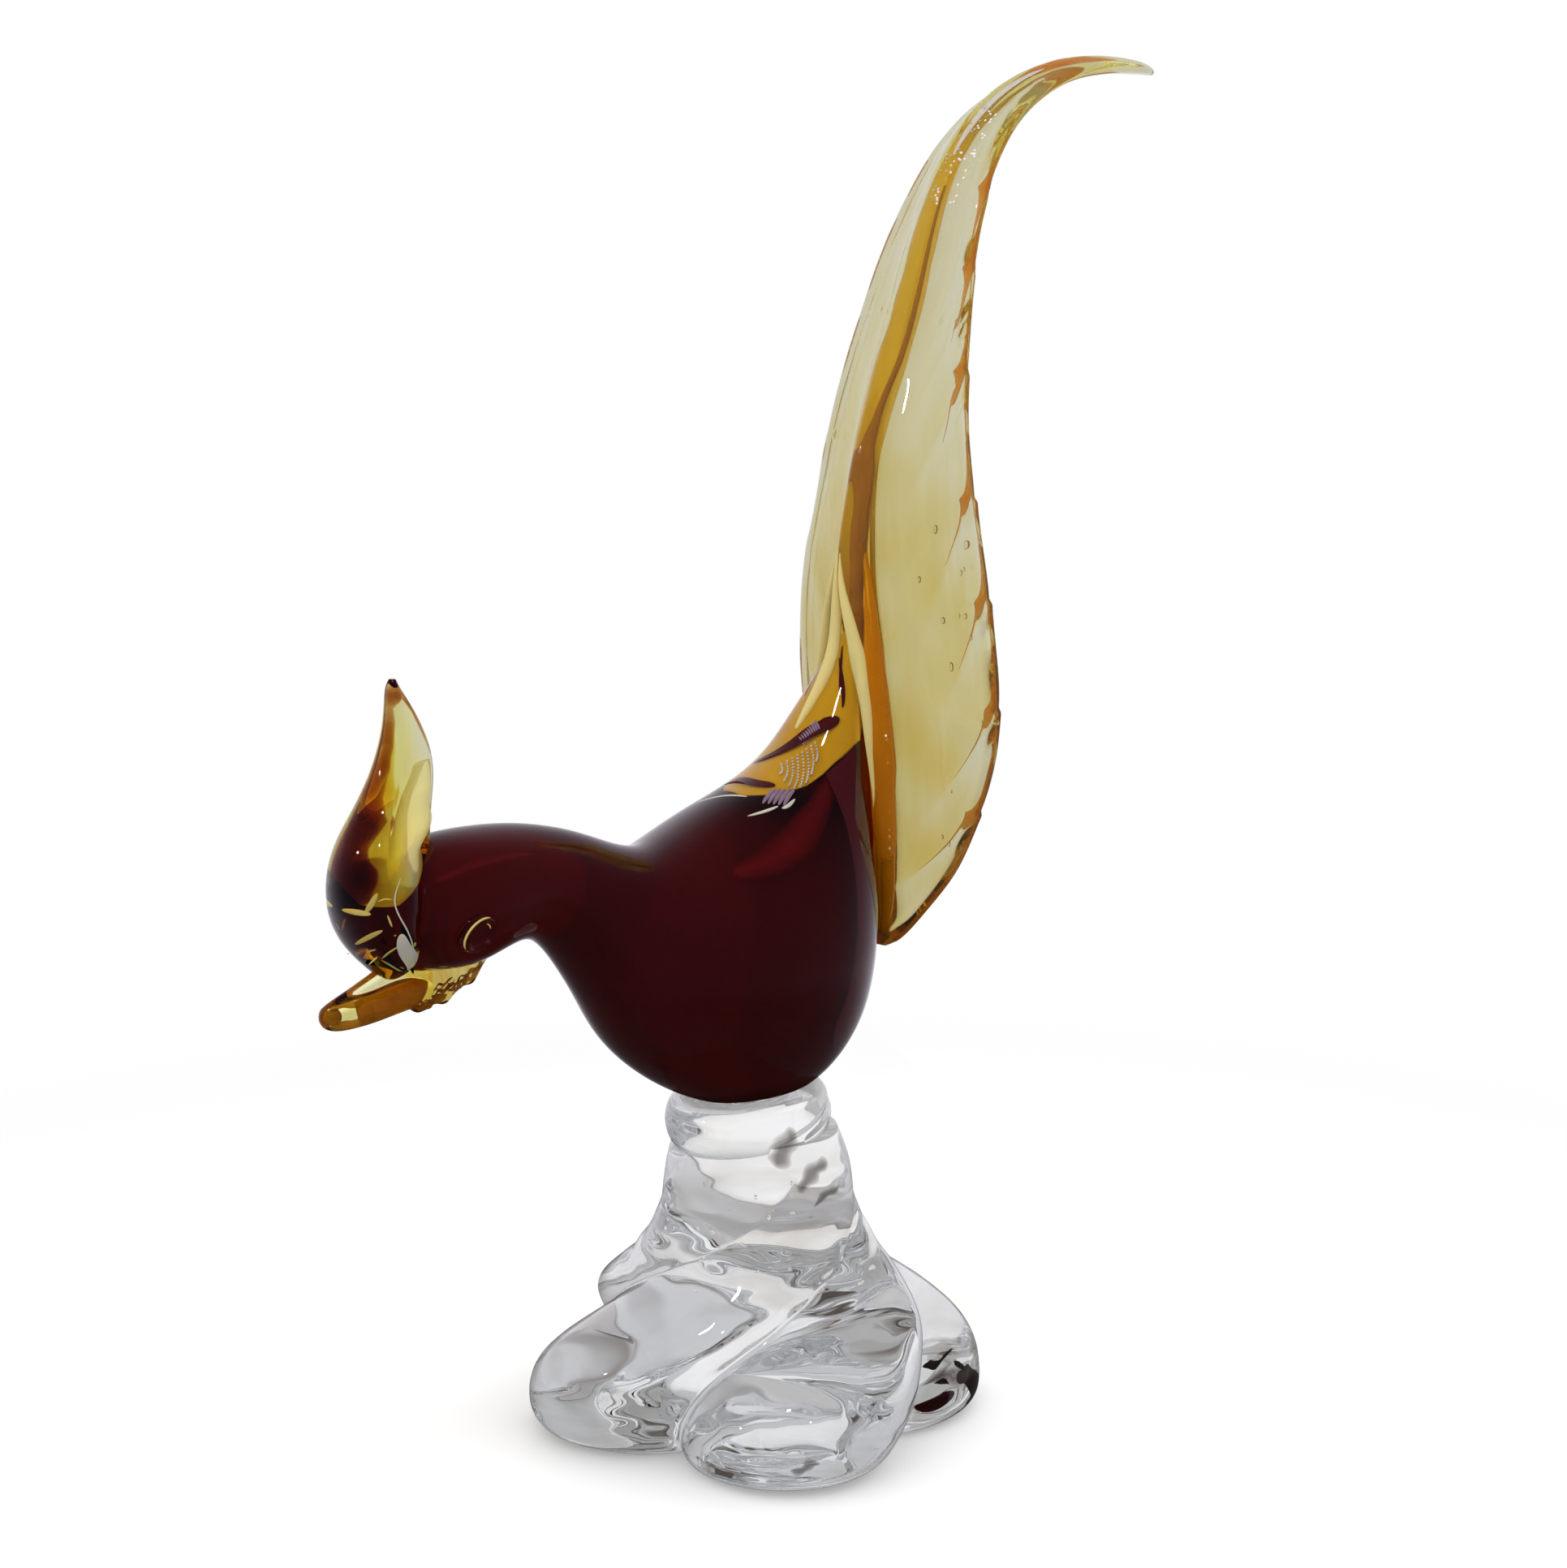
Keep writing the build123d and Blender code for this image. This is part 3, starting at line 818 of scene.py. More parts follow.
def build_tail_sheet():
    """Amber sheet inside the vanes, thinner towards the top and gone from the barb tips."""
    grid = TailFrame(np.linspace(1.0, 15.2, 460), np.linspace(-1, 1, 181))
    side = np.abs(grid.share) * (grid.span - 1.3)
    inwards = grid.span - side
    above, below = both_vanes(grid, inwards)
    tips = np.exp(-((below / 5.0) ** 2)) * np.exp(-((inwards / 13) ** 2))
    strength = 1 - 0.9 * ramp(grid.height, 185, 300)
    patchy = 1 + 0.35 * waves(grid.place(side, 0 * side), 22, SEED + 5)
    edge = np.sqrt(np.clip(1 - grid.share**6, 0.0004, 1))
    thick = 0.66 * strength * patchy * (1 - 0.97 * tips) * edge + 0.02
    x = grid.share * (grid.span - 1.3)
    middle = grid.fold(side) + 0.3 * rib_rise(grid) * np.exp(-((side / RIB_HALF_WIDTH) ** 2))
    front, rear = grid.place(x, middle + thick), grid.place(x, middle - thick)
    rings = np.concatenate([front, rear[:, -2:0:-1]], axis=1)
    piece("tail_sheet", [ring_mesh(rings)], AMBER, ["tail"])


def thread(centres, normals, wide, thick, around=24):
    """A strand of glass: an ellipse swept along its centres, thin along the normals, or along
    one direction for all."""
    normals = np.broadcast_to(normals, centres.shape)
    across = np.cross(tangents(centres), normals)
    across /= lengths(across)
    turn = circle(around)[None, :, None]
    flat = np.cos(turn) * (wide[:, None] * across)[:, None]
    return ring_mesh(centres[:, None] + flat + np.sin(turn) * (thick[:, None] * normals)[:, None])


# tail step, rod half width, rod half thickness, shift across, height in the rib as a share
RIB_ROD = [
    (0.6, 0.6, 0.6, 0.0, 0.40),
    (1.6, 2.0, 1.4, 0.1, 0.40),
    (3.0, 2.0, 1.4, -0.3, 0.45),
    (4.4, 1.7, 1.3, 0.2, 0.50),
    (5.4, 2.0, 1.2, 0.2, 0.50),
    (6.2, 2.9, 1.4, -0.2, 0.50),
    (6.9, 2.2, 1.2, -0.6, 0.50),
    (7.5, 2.9, 1.2, -0.9, 0.50),
    (8.3, 2.3, 1.1, -0.6, 0.50),
    (9.0, 1.0, 0.8, -1.8, 0.50),
    (9.6, 0.8, 0.7, -4.2, 0.50),
    (10.8, 0.6, 0.5, -3.6, 0.45),
    (11.8, 0.3, 0.2, -1.8, 0.40),
]
TIP_PATCH = [(13.0, 0.3), (13.6, 1.0), (14.2, 2.0), (14.8, 1.9), (15.2, 1.0), (15.4, 0.3)]


def vane_path(heights, inwards, sign):
    """Centres and front directions of a path inside a vane, by height and mm in from the rim."""
    table = np.array(TAIL)[:15]
    steps = np.interp(heights, table[:, 1], np.arange(15))
    grid = TailFrame(np.asarray(steps), np.array([sign]))
    x = sign * (grid.span[:, 0] - inwards)
    rise = grid.fold(np.abs(x)[:, None])
    return grid.place(x[:, None], rise)[:, 0], grid.front


def build_tail_rod():
    """An orange-brown rod up the rib, which wanders and is lumpy half-way up."""
    steps, rows = along_table(RIB_ROD, 300)
    grid = TailFrame(steps, np.array([0.0]))
    lumps = ramp(steps, 5, 6.3) * ramp(-steps, -9.2, -8.2)
    wide = rows[:, 0] * (1 + 0.30 * lumps * waves(grid.spine, 9, SEED + 9))
    thick = rows[:, 1] * (1 + 0.35 * lumps * waves(grid.spine, 7, SEED + 10))
    x = rows[:, 2] + 0.8 * waves(grid.spine, 13, SEED + 8) * lumps
    rise = rows[:, 3] * rib_rise(grid)[:, 0]
    centres = grid.place(x[:, None], rise[:, None])[:, 0]
    rod = thread(centres, grid.front, wide, thick)
    piece("tail_rod", [rod], SEPIA, ["tail"])


def rib_patch(table):
    """A patch of glass in the rib near the tail's tip."""
    steps, rows = along_table(table, 80)
    grid = TailFrame(steps, np.array([0.0]))
    centres = grid.place(0 * steps[:, None], 0.5 + 0.4 * rib_rise(grid))[:, 0]
    return thread(centres, grid.front, rows[:, 0], 0.35 * rows[:, 0])


def rim_line(sign):
    """A thin line up the rim of one vane, wider at its foot."""
    heights = np.linspace(117, 306, 300)
    centres, normals = vane_path(heights, 0.6 + 0 * heights, sign)
    size = 0.10 + 0.12 * ramp(-heights, -215, -150) + 0.36 * ramp(-heights, -148, -130)
    return thread(centres, normals, size, 1.3 * size, 12)


def barb_wedge(notch):
    """A wedge that thickens down the rim to a notch, then turns inwards under the barb's edge."""
    slope = np.interp(notch, SLOPE_HEIGHTS, BARB_SLOPES)
    down = np.linspace(-14, 17, 120)
    width = np.where(down < 0, 0.12 + 1.1 * np.exp(down / 4.5), 0.3 + 0.92 * np.exp(-down / 4))
    width *= np.clip(1 - down / 18, 0, 1)
    inwards = 0.5 * slope * (down + np.sqrt(down**2 + 9)) + width + 0.3
    centres, normals = vane_path(notch - down, inwards, -1)
    return thread(centres, normals, width, 0.7 * width + 0.1, 20)


def tail_root():
    """The thick strand that fills the foot of the tail."""
    steps = np.linspace(0.15, 1.7, 60)
    grid = TailFrame(steps, np.array([0.0]))
    centres = grid.place(0 * steps[:, None], 0.2 * rib_rise(grid))[:, 0]
    wide = 0.8 * grid.span[:, 0] * (1 - ramp(steps, 0.9, 1.7))
    thick = 1.0 * ramp(-steps, -1.7, -0.9)
    return thread(centres, grid.front, wide + 0.1, thick + 0.1, 48)


def build_tail_threads():
    """Orange strands inside the tail: a patch at its tip, a line in each rim, a wedge under each
    barb's edge and a strand in its foot."""
    shells = [rib_patch(TIP_PATCH), rim_line(-1), rim_line(1)]
    shells += [barb_wedge(notch) for notch in NEAR_NOTCHES]
    shells.append(tail_root())
    piece("tail_threads", shells, ORANGE, ["tail"])


# tail step, half width and shift across of the gold band up the middle of the tail
RIB_BAND = [
    (5.6, 2.6, 1.4), (6.4, 4.2, 1.9), (7.4, 4.2, 1.6), (8.4, 4.4, 0.4), (9.4, 4.6, -1.4), (10.4, 4.4, -1.8),
    (11.4, 3.4, -1.0), (12.4, 2.4, -0.4), (13.2, 1.4, 0.0), (13.8, 0.4, 0.0),
]


def build_rib_band():
    """Broad gold band within the rib, behind the darker rod."""
    steps, rows = along_table(RIB_BAND, 220)
    grid = TailFrame(steps, np.array([0.0]))
    wide = rows[:, 0] * (1 + 0.08 * waves(grid.spine, 20, SEED + 14))
    centres = grid.place(rows[:, 1][:, None], 0.22 * rib_rise(grid))[:, 0]
    band = thread(centres, grid.front, wide, 0.12 * wide)
    piece("tail_rib_band", [band], RIB_GOLD, ["tail"])


def build_pebble_highlights():
    """Painted highlights: pearly dots on the pebbles of the tool print where they catch the light, and a
    painted pale gleam beside them.
    """
    shells = [seed(spot, normal, 0.32, 0.8) for spot, normal in tail_pebbles()]
    steps = np.linspace(12.2, 14.0, 60)
    grid = TailFrame(steps, np.array([0.0]))
    wide = 1.1 * taper(np.linspace(0, 1, 60))
    centres = grid.place(-1.6 + 0 * steps[:, None], 0.9 + 0.8 * rib_rise(grid))[:, 0]
    shells.append(thread(centres, grid.front, wide, 0.25 * wide))
    piece("tail_pebbles", shells, PAINTED_HIGHLIGHT, ["tail"])


# x, y, z and half width of the welts where the tail is wrapped on to the body
LEFT_ARM = [
    (24.2, 0.0, 214.0, 0.1),
    (23.4, -0.3, 206.0, 0.7),
    (23.2, -0.7, 197.0, 1.4),
    (20.8, -1.2, 186.6, 1.5),
    (15.2, -1.4, 177.4, 1.2),
    (10.6, -1.6, 171.6, 0.3),
]
RIGHT_ARM = [
    (24.4, -0.5, 213.0, 0.1),
    (23.8, -2.2, 205.0, 0.8),
    (24.4, -4.8, 196.0, 1.5),
    (25.4, -7.4, 186.0, 1.9),
    (25.0, -10.8, 175.0, 1.5),
    (24.2, -12.4, 165.0, 1.35),
    (24.5, -13.0, 157.0, 1.3),
    (25.0, -13.0, 151.0, 0.3),
]
COLUMN = [
    (29.0, -4.2, 216.0, 0.1),
    (29.0, -6.4, 202.0, 1.4),
    (28.4, -10.2, 178.0, 3.2),
    (28.3, -11.8, 165.0, 3.8),
    (28.8, -12.2, 150.0, 3.5),
    (30.2, -11.0, 140.0, 3.0),
    (32.6, -8.2, 128.0, 2.4),
    (35.2, -3.8, 118.5, 1.4),
]


def welt(table, mirror, size=1.0, flat=0.8):
    """A tapering rope of glass along a table of places, on either side of the bird."""
    rows = smooth_rows(table, 120)
    centres = rows[:, :3] * np.array([1, -1 if mirror else 1, 1])
    outwards = np.array([-0.5, 1.0 if mirror else -1.0, 0.0])
    along = tangents(centres)
    normals = outwards - (along @ outwards)[:, None] * along
    normals /= lengths(normals)
    width = rows[:, 3] * size * (1 + 0.06 * waves(centres, 12, SEED + 40))
    return thread(centres, normals, width, flat * width, 48)


def build_wraps():
    """Pale welts and copper ropes of the tail's glass over the body's end, on both sides."""
    plans = [(LEFT_ARM, False, CREAM)]
    for table, colour in ((RIGHT_ARM, CREAM), (COLUMN, COPPER)):
        plans += [(table, mirror, colour) for mirror in (False, True)]
    return [
        piece(f"tail_wrap_{i}", [welt(table, mirror)], colour, ["tail"])
        for i, (table, mirror, colour) in enumerate(plans)
    ]


def build_copper_streaks():
    """Darker streaks along the copper ropes, and the dark end at their foot."""
    shells = []
    for mirror in (False, True):
        for shift, size in ((1.6, 0.20), (-1.9, 0.26), (0.3, 0.12)):
            moved = [(x + 0.5 * shift, y - 0.5 - 0.3 * shift, z, half) for x, y, z, half in COLUMN]
            shells.append(welt(moved, mirror, size, 0.7))
        low_end = [(x - 0.2, y - 1.0, z, 0.7 * half) for x, y, z, half in COLUMN[5:]]
        shells.append(welt(low_end, mirror))
    piece("tail_copper_streaks", shells, SEPIA, ["tail"])


def build_rope_glints():
    """Painted glints: pale dots scattered in the outer face of the copper ropes, where small highlights catch
    the light.
    """
    rng = np.random.default_rng(SEED + 41)
    shells = []
    for side in (-1, 1):
        for t in rng.uniform(2.2, 6.6, 13):
            x, y, z, half = spline(COLUMN, np.array([t]))[0]
            turn = rng.uniform(0.9, 1.6)
            spot = (x + half * math.cos(turn) * 0.2, -side * y + side * 0.75 * half * math.sin(turn), z)
            shells.append(seed(spot, (-0.5, side, 0.1), rng.uniform(0.25, 0.42), 1.0))
    piece("tail_rope_glints", shells, PAINTED_HIGHLIGHT, ["tail"])


# ---- Crest, beak, wattle and eyes ----

# x and z of the rear edge, x and z of the front edge, half thickness, how much of a wedge it is
CREST = [
    (-99.8, 125.8, -102.2, 126.2, 1.5, 0.0),
    (-98.0, 126.6, -104.2, 128.0, 5.5, 0.0),
    (-94.0, 131.5, -109.8, 134.5, 11.6, 0.0),
    (-92.6, 143.0, -112.8, 143.5, 13.8, 0.0),
    (-89.6, 155.0, -112.0, 153.0, 11.4, 0.5),
    (-88.2, 164.0, -108.6, 161.0, 7.6, 1.0),
    (-87.6, 171.0, -104.8, 168.0, 5.4, 1.0),
    (-88.8, 178.0, -101.4, 175.5, 4.4, 1.0),
    (-92.2, 185.2, -99.4, 183.5, 3.4, 0.8),
    (-95.4, 190.2, -98.8, 189.8, 2.4, 0.2),
    (-96.6, 192.6, -98.0, 192.6, 0.9, 0.0),
]


WEDGE_RIDGE = 0.3  # share of the chord, from the front, where the wedge is thickest
WEDGE_REAR = 0.9  # most that the wedge's half thickness can be at its rear edge


def leaf_rings(rows, around):
    """Rings on chords from a thick rounded front edge to the rear, each between an ellipse and a
    wedge whose flat flanks run from the ridge to a thin rear edge."""
    share, side = blade(around)
    oval = np.abs(np.sin(circle(around)))
    half = rows[:, 4][:, None]
    thin = np.minimum(WEDGE_REAR, 0.7 * half)
    nose = arch((WEDGE_RIDGE - share) / WEDGE_RIDGE) * half
    flank = half + (thin - half) * (share - WEDGE_RIDGE) / (1 - WEDGE_RIDGE)
    tail_end = arch(np.clip((share - 0.93) / 0.07, 0, 1))
    wedge = np.where(share < WEDGE_RIDGE, nose, flank * tail_end)
    mix = np.clip(rows[:, 5], 0, 1)[:, None]
    width = (oval * half * (1 - mix) + wedge * mix) * side
    rear_edge, front_edge = chords(rows)
    middle = front_edge[:, None] + share[None, :, None] * (rear_edge - front_edge)[:, None]
    return middle + width[..., None] * SIDEWAYS


def build_crest():
    """The pointed leaf over the head, with the cap that runs down over the face."""
    rings = seat(leaf_rings(smooth_rows(CREST, 260), 200), "crest", "xzZ")
    return piece("crest_leaf", [ring_mesh(rings)], LEMON, ["crest"])


# Strips of coloured glass inside the crest. Each row: height, share of the chord from the front
# edge where the strip starts and where it ends, share of the crest's thickness that it fills.
CREST_TIP = [
    (165.0, 0.04, 0.08, 0.10),
    (168.0, 0.03, 0.24, 0.50),
    (173.5, 0.03, 0.30, 0.62),
    (178.0, 0.03, 0.30, 0.70),
    (183.0, 0.04, 0.30, 0.74),
    (187.0, 0.05, 0.34, 0.78),
    (188.8, 0.05, 0.90, 0.80),
    (190.6, 0.08, 0.90, 0.75),
    (192.0, 0.20, 0.80, 0.50),
]
CREST_REAR = [
    (174.0, 0.95, 0.97, 0.10),
    (179.0, 0.91, 0.97, 0.45),
    (185.0, 0.84, 0.96, 0.70),
    (189.5, 0.60, 0.95, 0.70),
]
# the dark patch down the crest's front is brown partly for the thick amber there and partly as painted shade
# where the front refracts the dark room
CREST_PATCH = [
    (142.0, 0.05, 0.30, 0.10),
    (144.5, 0.03, 0.48, 0.42),
    (151.0, 0.03, 0.47, 0.50),
    (156.0, 0.04, 0.36, 0.50),
    (161.0, 0.04, 0.42, 0.48),
    (167.0, 0.04, 0.30, 0.44),
    (173.0, 0.04, 0.33, 0.40),
    (179.0, 0.04, 0.28, 0.20),
]
CREST_PALE = [
    (143.0, 0.54, 0.66, 0.30),
    (148.0, 0.46, 0.78, 0.84),
    (155.0, 0.44, 0.86, 0.86),
    (161.0, 0.44, 0.92, 0.86),
    (167.0, 0.48, 0.94, 0.80),
    (173.0, 0.62, 0.92, 0.50),
]
CREST_AMBER = [
    (154.0, 0.08, 0.20, 0.10),
    (160.0, 0.04, 0.36, 0.40),
    (168.0, 0.04, 0.40, 0.60),
    (176.0, 0.04, 0.34, 0.70),
    (184.0, 0.05, 0.30, 0.60),
]


def crest_strip(table, seed):
    """One closed strip inside the crest, with an uneven edge."""
    outline = spline(CREST, np.linspace(1, len(CREST) - 1.02, 600))
    middle = (outline[:, 1] + outline[:, 3]) / 2
    table = np.array(table)
    heights = np.linspace(table[0, 0], table[-1, 0], 110)
    rows = np.stack([np.interp(heights, middle, column) for column in outline.T], 1)
    start, end, fill = (np.interp(heights, table[:, 0], table[:, k]) for k in (1, 2, 3))
    uneven = waves(np.stack([heights, 0 * heights, 0 * heights], 1), 7, seed)
    end = start + (end - start) * (1 + 0.12 * uneven)
    front, rear = rows[:, 2:4], rows[:, 0:2]
    near_front = front + (rear - front) * start[:, None]
    near_rear = front + (rear - front) * end[:, None]
    body = np.sqrt(np.clip(1 - (start + end - 1) ** 2, 0.05, 1))
    return leaf_rings(np.column_stack([near_rear, near_front, rows[:, 4] * fill * body, 0 * fill]), 72)


# start x, y, z, end x, y, z and half width of the brown folds in the cap over the head
CAP_FOLDS = [
    (-109.0, -4.0, 135.5, -98.0, -7.0, 133.0, 0.9),
    (-108.0, -5.0, 131.0, -99.0, -7.5, 128.5, 1.1),
    (-106.5, 3.0, 133.0, -98.0, 6.0, 130.0, 1.1),
    (-101.5, -8.0, 140.0, -97.5, -7.0, 127.5, 0.8),
    (-104.5, -6.5, 137.5, -101.0, -6.0, 128.5, 0.6),
    (-105.5, 6.0, 138.0, -100.5, 5.0, 128.0, 0.8),
]


def cap_folds():
    """The brown folds, each bowed upwards and wavy."""
    for i, (x0, y0, z0, x1, y1, z1, half) in enumerate(CAP_FOLDS):
        t = np.linspace(0, 1, 50)[:, None]
        start, end = np.array([x0, y0, z0]), np.array([x1, y1, z1])
        centres = start + (end - start) * t + np.array([0, 0, 1.2]) * np.sin(math.pi * t)
        centres[:, 1] += 0.5 * np.sin(7 * t[:, 0] + i)
        width = half * taper(t[:, 0])
        yield thread(centres, SIDEWAYS, width, 0.6 * width, 20)


def build_crest_core():
    """Brown glass along the front of the crest, round its tip and in its foot; the patch down the front is
    partly painted shade.
    """
    tables = (CREST_TIP, CREST_REAR, CREST_PATCH)
    shells = [ring_mesh(crest_strip(t, SEED + 20 + i)) for i, t in enumerate(tables)]
    shells += cap_folds()
    piece("crest_core", shells, BROWN_AND_SHADE, ["crest"])


# paths of painted glints, bright facets under the skin of the cap, x, y, z, each with its half width
CAP_FACETS = [
    ([(-109.6, -8.6, 143.6), (-108.9, -9.8, 145.2), (-107.6, -10.4, 147.8)], 0.9),
    ([(-107.8, -10.8, 146.0), (-106.5, -11.8, 146.6), (-105.2, -12.4, 146.4)], 0.25),
    ([(-109.5, -3.4, 135.4), (-108.8, -8.3, 137.8), (-107.0, -11.3, 139.6)], 0.75),
    ([(-108.0, -5.4, 134.0), (-107.2, -8.5, 134.9)], 0.3),
    ([(-105.7, -8.3, 132.6), (-105.1, -10.5, 134.3), (-103.4, -12.4, 136.0)], 0.35),
    ([(-105.5, -7.7, 132.2), (-103.2, -8.2, 130.6), (-99.3, -6.4, 128.4)], 0.35),
    ([(-111.5, -2.0, 143.2), (-110.6, -6.9, 143.3), (-109.0, -9.9, 143.2)], 0.9),
    ([(-106.0, -11.8, 143.0), (-105.4, -12.6, 140.4)], 0.3),
]
# painted highlights: the pearly line down the cap's rear edge, and the lens at its foot
CAP_EDGE = [
    (-102.4, -11.6, 150.8), (-104.6, -12.6, 145.6), (-102.6, -13.2, 140.3), (-100.4, -12.2, 135.8),
    (-98.6, -9.6, 131.6),
]
CAP_LENS = [(-103.2, -12.6, 138.6), (-102.2, -12.0, 135.0), (-99.0, -9.0, 131.4), (-98.6, -6.6, 128.8)]
HEAD_MIDDLE = np.array([-101.5, 0.0, 140.0])


def facet(path, half, thick=0.3):
    """A leaf of glass along a path, facing outwards from the head's middle."""
    t = np.linspace(0, 1, 50)
    rows = np.array(path, float)
    if len(rows) > 2:
        centres = spline(rows, t * (len(rows) - 1))
    else:
        centres = rows[0] + t[:, None] * (rows[1] - rows[0])
    normals = centres - HEAD_MIDDLE
    along = tangents(centres)
    normals -= np.einsum("ij,ij->i", normals, along)[:, None] * along
    normals /= lengths(normals)
    width = half * taper(t)
    return thread(centres, normals, width, thick * width, 20)


def both_sides(path):
    return path, [(x, -y, z) for x, y, z in path]


def build_glints():
    """Painted glints: flaxen facets in the cap, and a painted highlight of a pearly lens at its edge over
    each side of the head.
    """
    facets = [facet(path, 0.75 * half) for base, half in CAP_FACETS for path in both_sides(base)]
    rng = np.random.default_rng(SEED + 70)
    for _ in range(16):
        turn, height = rng.uniform(-2.3, 2.3), rng.uniform(129.5, 141.0)
        reach = 10.4 * math.sqrt(1 - ((height - 141) / 17) ** 2)
        start = np.array([-102.5 - 0.85 * reach * math.cos(turn), 1.05 * reach * math.sin(turn), height])
        end = start + rng.normal(0, 1.0, 3) * (0.8, 0.8, 1.6)
        facets.append(facet([start, end], rng.uniform(0.12, 0.3)))
    piece("crest_facets", facets, PAINTED_GLINT, ["crest"])
    pearls = [facet(path, 1.7, 0.12) for path in both_sides(CAP_LENS)]
    pearls += [facet(path, 0.18) for path in both_sides(CAP_EDGE)]
    piece("crest_glints", pearls, PAINTED_HIGHLIGHT, ["crest"])


def build_crest_amber():
    """Pale glass through the crest's rear half, and golden glass under the brown of its front."""
    for name, table, seed, colour in (
        ("crest_pale", CREST_PALE, SEED + 31, PRIMROSE),
        ("crest_amber", CREST_AMBER, SEED + 30, AMBER),
    ):
        piece(name, [ring_mesh(crest_strip(table, seed))], colour, ["crest"])


# x, z of the top edge, z of the bottom, radius of the bar, half thickness of the web above it
BEAK = [
    (-88.5, 124.0, 121.5, 0.8, 0.6),
    (-91.0, 127.5, 118.6, 3.2, 2.4),
    (-96.0, 130.0, 117.4, 4.0, 2.6),
    (-103.0, 127.6, 116.0, 3.8, 2.1),
    (-109.0, 124.6, 115.2, 3.6, 1.7),
    (-113.6, 122.4, 115.2, 3.2, 1.5),
    (-116.2, 120.8, 116.2, 2.3, 1.3),
    (-117.2, 119.2, 117.8, 0.6, 0.5),
]


def build_beak():
    """A round bar with a thin web above it, hooked down at the tip."""
    rows = smooth_rows(BEAK, 120)
    rise, side = blade(120)
    tall = (rows[:, 1] - rows[:, 2])[:, None]
    up = rise * tall
    radius = rows[:, 3][:, None]
    bar = arch((up - radius) / radius) * radius
    web = rows[:, 4][:, None] * arch(2 * rise - 1, 6)
    width = np.maximum(bar, web) * side
    rings = np.stack([rows[:, 0][:, None] + 0 * up, width, rows[:, 2][:, None] + up], -1)
    rings = seat(rings, "beak", "xz")
    return piece("beak_bar", [ring_mesh(rings)], LEMON, ["beak"])


# x of the start and end, half width and rise of the brown strands in the beak's bar
BEAK_STRANDS = [
    (-108.8, -91.0, 2.9, 0), (-116.0, -112.6, 1.3, 0), (-115, -100, 0.8, 1.7), (-115, -100, 0.8, -1.7),
]


def build_beak_core():
    """Brown strands along the beak's bar, parted by a pale gap near the tip."""
    shells = []
    for start, end, wide, offset in BEAK_STRANDS:
        x = np.linspace(start, end, 60)
        t = np.linspace(0, 1, 60)
        size = wide * taper(t, 4, 0.001)
        rise = offset + np.interp(x, (-117, -110, -103, -96, -91), (118.6, 118.6, 119.6, 121.4, 122.6))
        centres = np.stack([x, 0.5 * np.sin(x), rise], 1)
        shells.append(thread(centres, UPWARDS, size, size, 32))
    piece("beak_core", shells, SEPIA, ["beak"])


# x, z of the top edge (inside the head), z of the wavy lower edge, half thickness
WATTLE = [
    (-98.0, 122.0, 119.6, 0.8),
    (-95.0, 127.0, 117.4, 2.2),
    (-90.0, 128.5, 116.9, 2.5),
    (-84.5, 129.0, 118.8, 2.3),
    (-79.5, 130.0, 121.6, 2.1),
    (-75.0, 131.2, 126.0, 1.7),
    (-72.6, 131.0, 129.4, 0.6),
]


def build_wattle():
    """A ruffled leaf that hangs under the bill and the cheek."""
    rows = smooth_rows(WATTLE, 140)
    rise, side = blade(100)
    x = rows[:, 0][:, None] + 0 * rise
    ripple = 0.35 * np.sin(x * 0.9) + 0.15 * np.sin(x * 1.7 + 1)
    low = rows[:, 2][:, None] + ripple * ramp(rows[:, 3][:, None], 0.8, 1.8)
    z = low + rise * (rows[:, 1][:, None] - low)
    width = rows[:, 3][:, None] * arch(2 * rise - 1, 4) * side
    sway = 0.5 * np.sin(x * 0.9 + 0.6) * (1 - rise)
    rings = np.stack([x, width + sway, z], -1)
    return piece("wattle_leaf", [ring_mesh(rings)], HONEY, ["wattle"])


EYE_TILT, EYE_DROP = math.radians(35), math.radians(18)  # how far it leans up and faces down
EYE_HALF_LENGTH, EYE_HALF_WIDTH = 5.5, 4.1


def eye_axes(side):
    """Directions along the oval's length and its width, and out of its face."""
    long_way = np.array([math.cos(EYE_TILT), 0, math.sin(EYE_TILT)])
    out = np.array([0, side * math.cos(EYE_DROP), -math.sin(EYE_DROP)])
    short_way = np.cross(out, long_way)
    return long_way, short_way / lengths(short_way), out


def prunt(centre, axes):
    """A shallow oval dish with a rounded rim."""
    long_way, short_way, out = axes
    turn = circle(96)
    oval = EYE_HALF_LENGTH * np.outer(np.cos(turn), long_way)
    oval += EYE_HALF_WIDTH * np.outer(np.sin(turn), short_way)
    rings = []
    for reach in np.linspace(0.04, 1, 44):
        dome = 2.0 * math.sqrt(max(0.0, 1 - reach**5))
        lip = 1.2 * math.exp(-(((reach - 0.78) / 0.13) ** 2))
        rings.append(centre + reach * oval + (dome + lip) * out)
    for reach in np.linspace(0.98, 0.04, 20):
        rings.append(centre + reach * oval - 1.6 * math.sqrt(1 - reach**3) * out)
    return ring_mesh(np.array(rings))


def eye_arc(centre, axes, start, end, scale, half):
    """A thin strand over the eye's face, from one angle to another in degrees."""
    long_way, short_way, out = axes
    t = np.linspace(0, 1, 90)
    turned = np.radians(start + (end - start) * t)
    along = 5.0 * scale * np.outer(np.cos(turned), long_way)
    lift = 3.7 * scale * np.outer(np.sin(turned), short_way * np.sign(short_way[2]))
    width = half * taper(t) + 0.02
    return thread(centre + along + lift + 2.2 * out, out, width, 0.7 * width, 16)


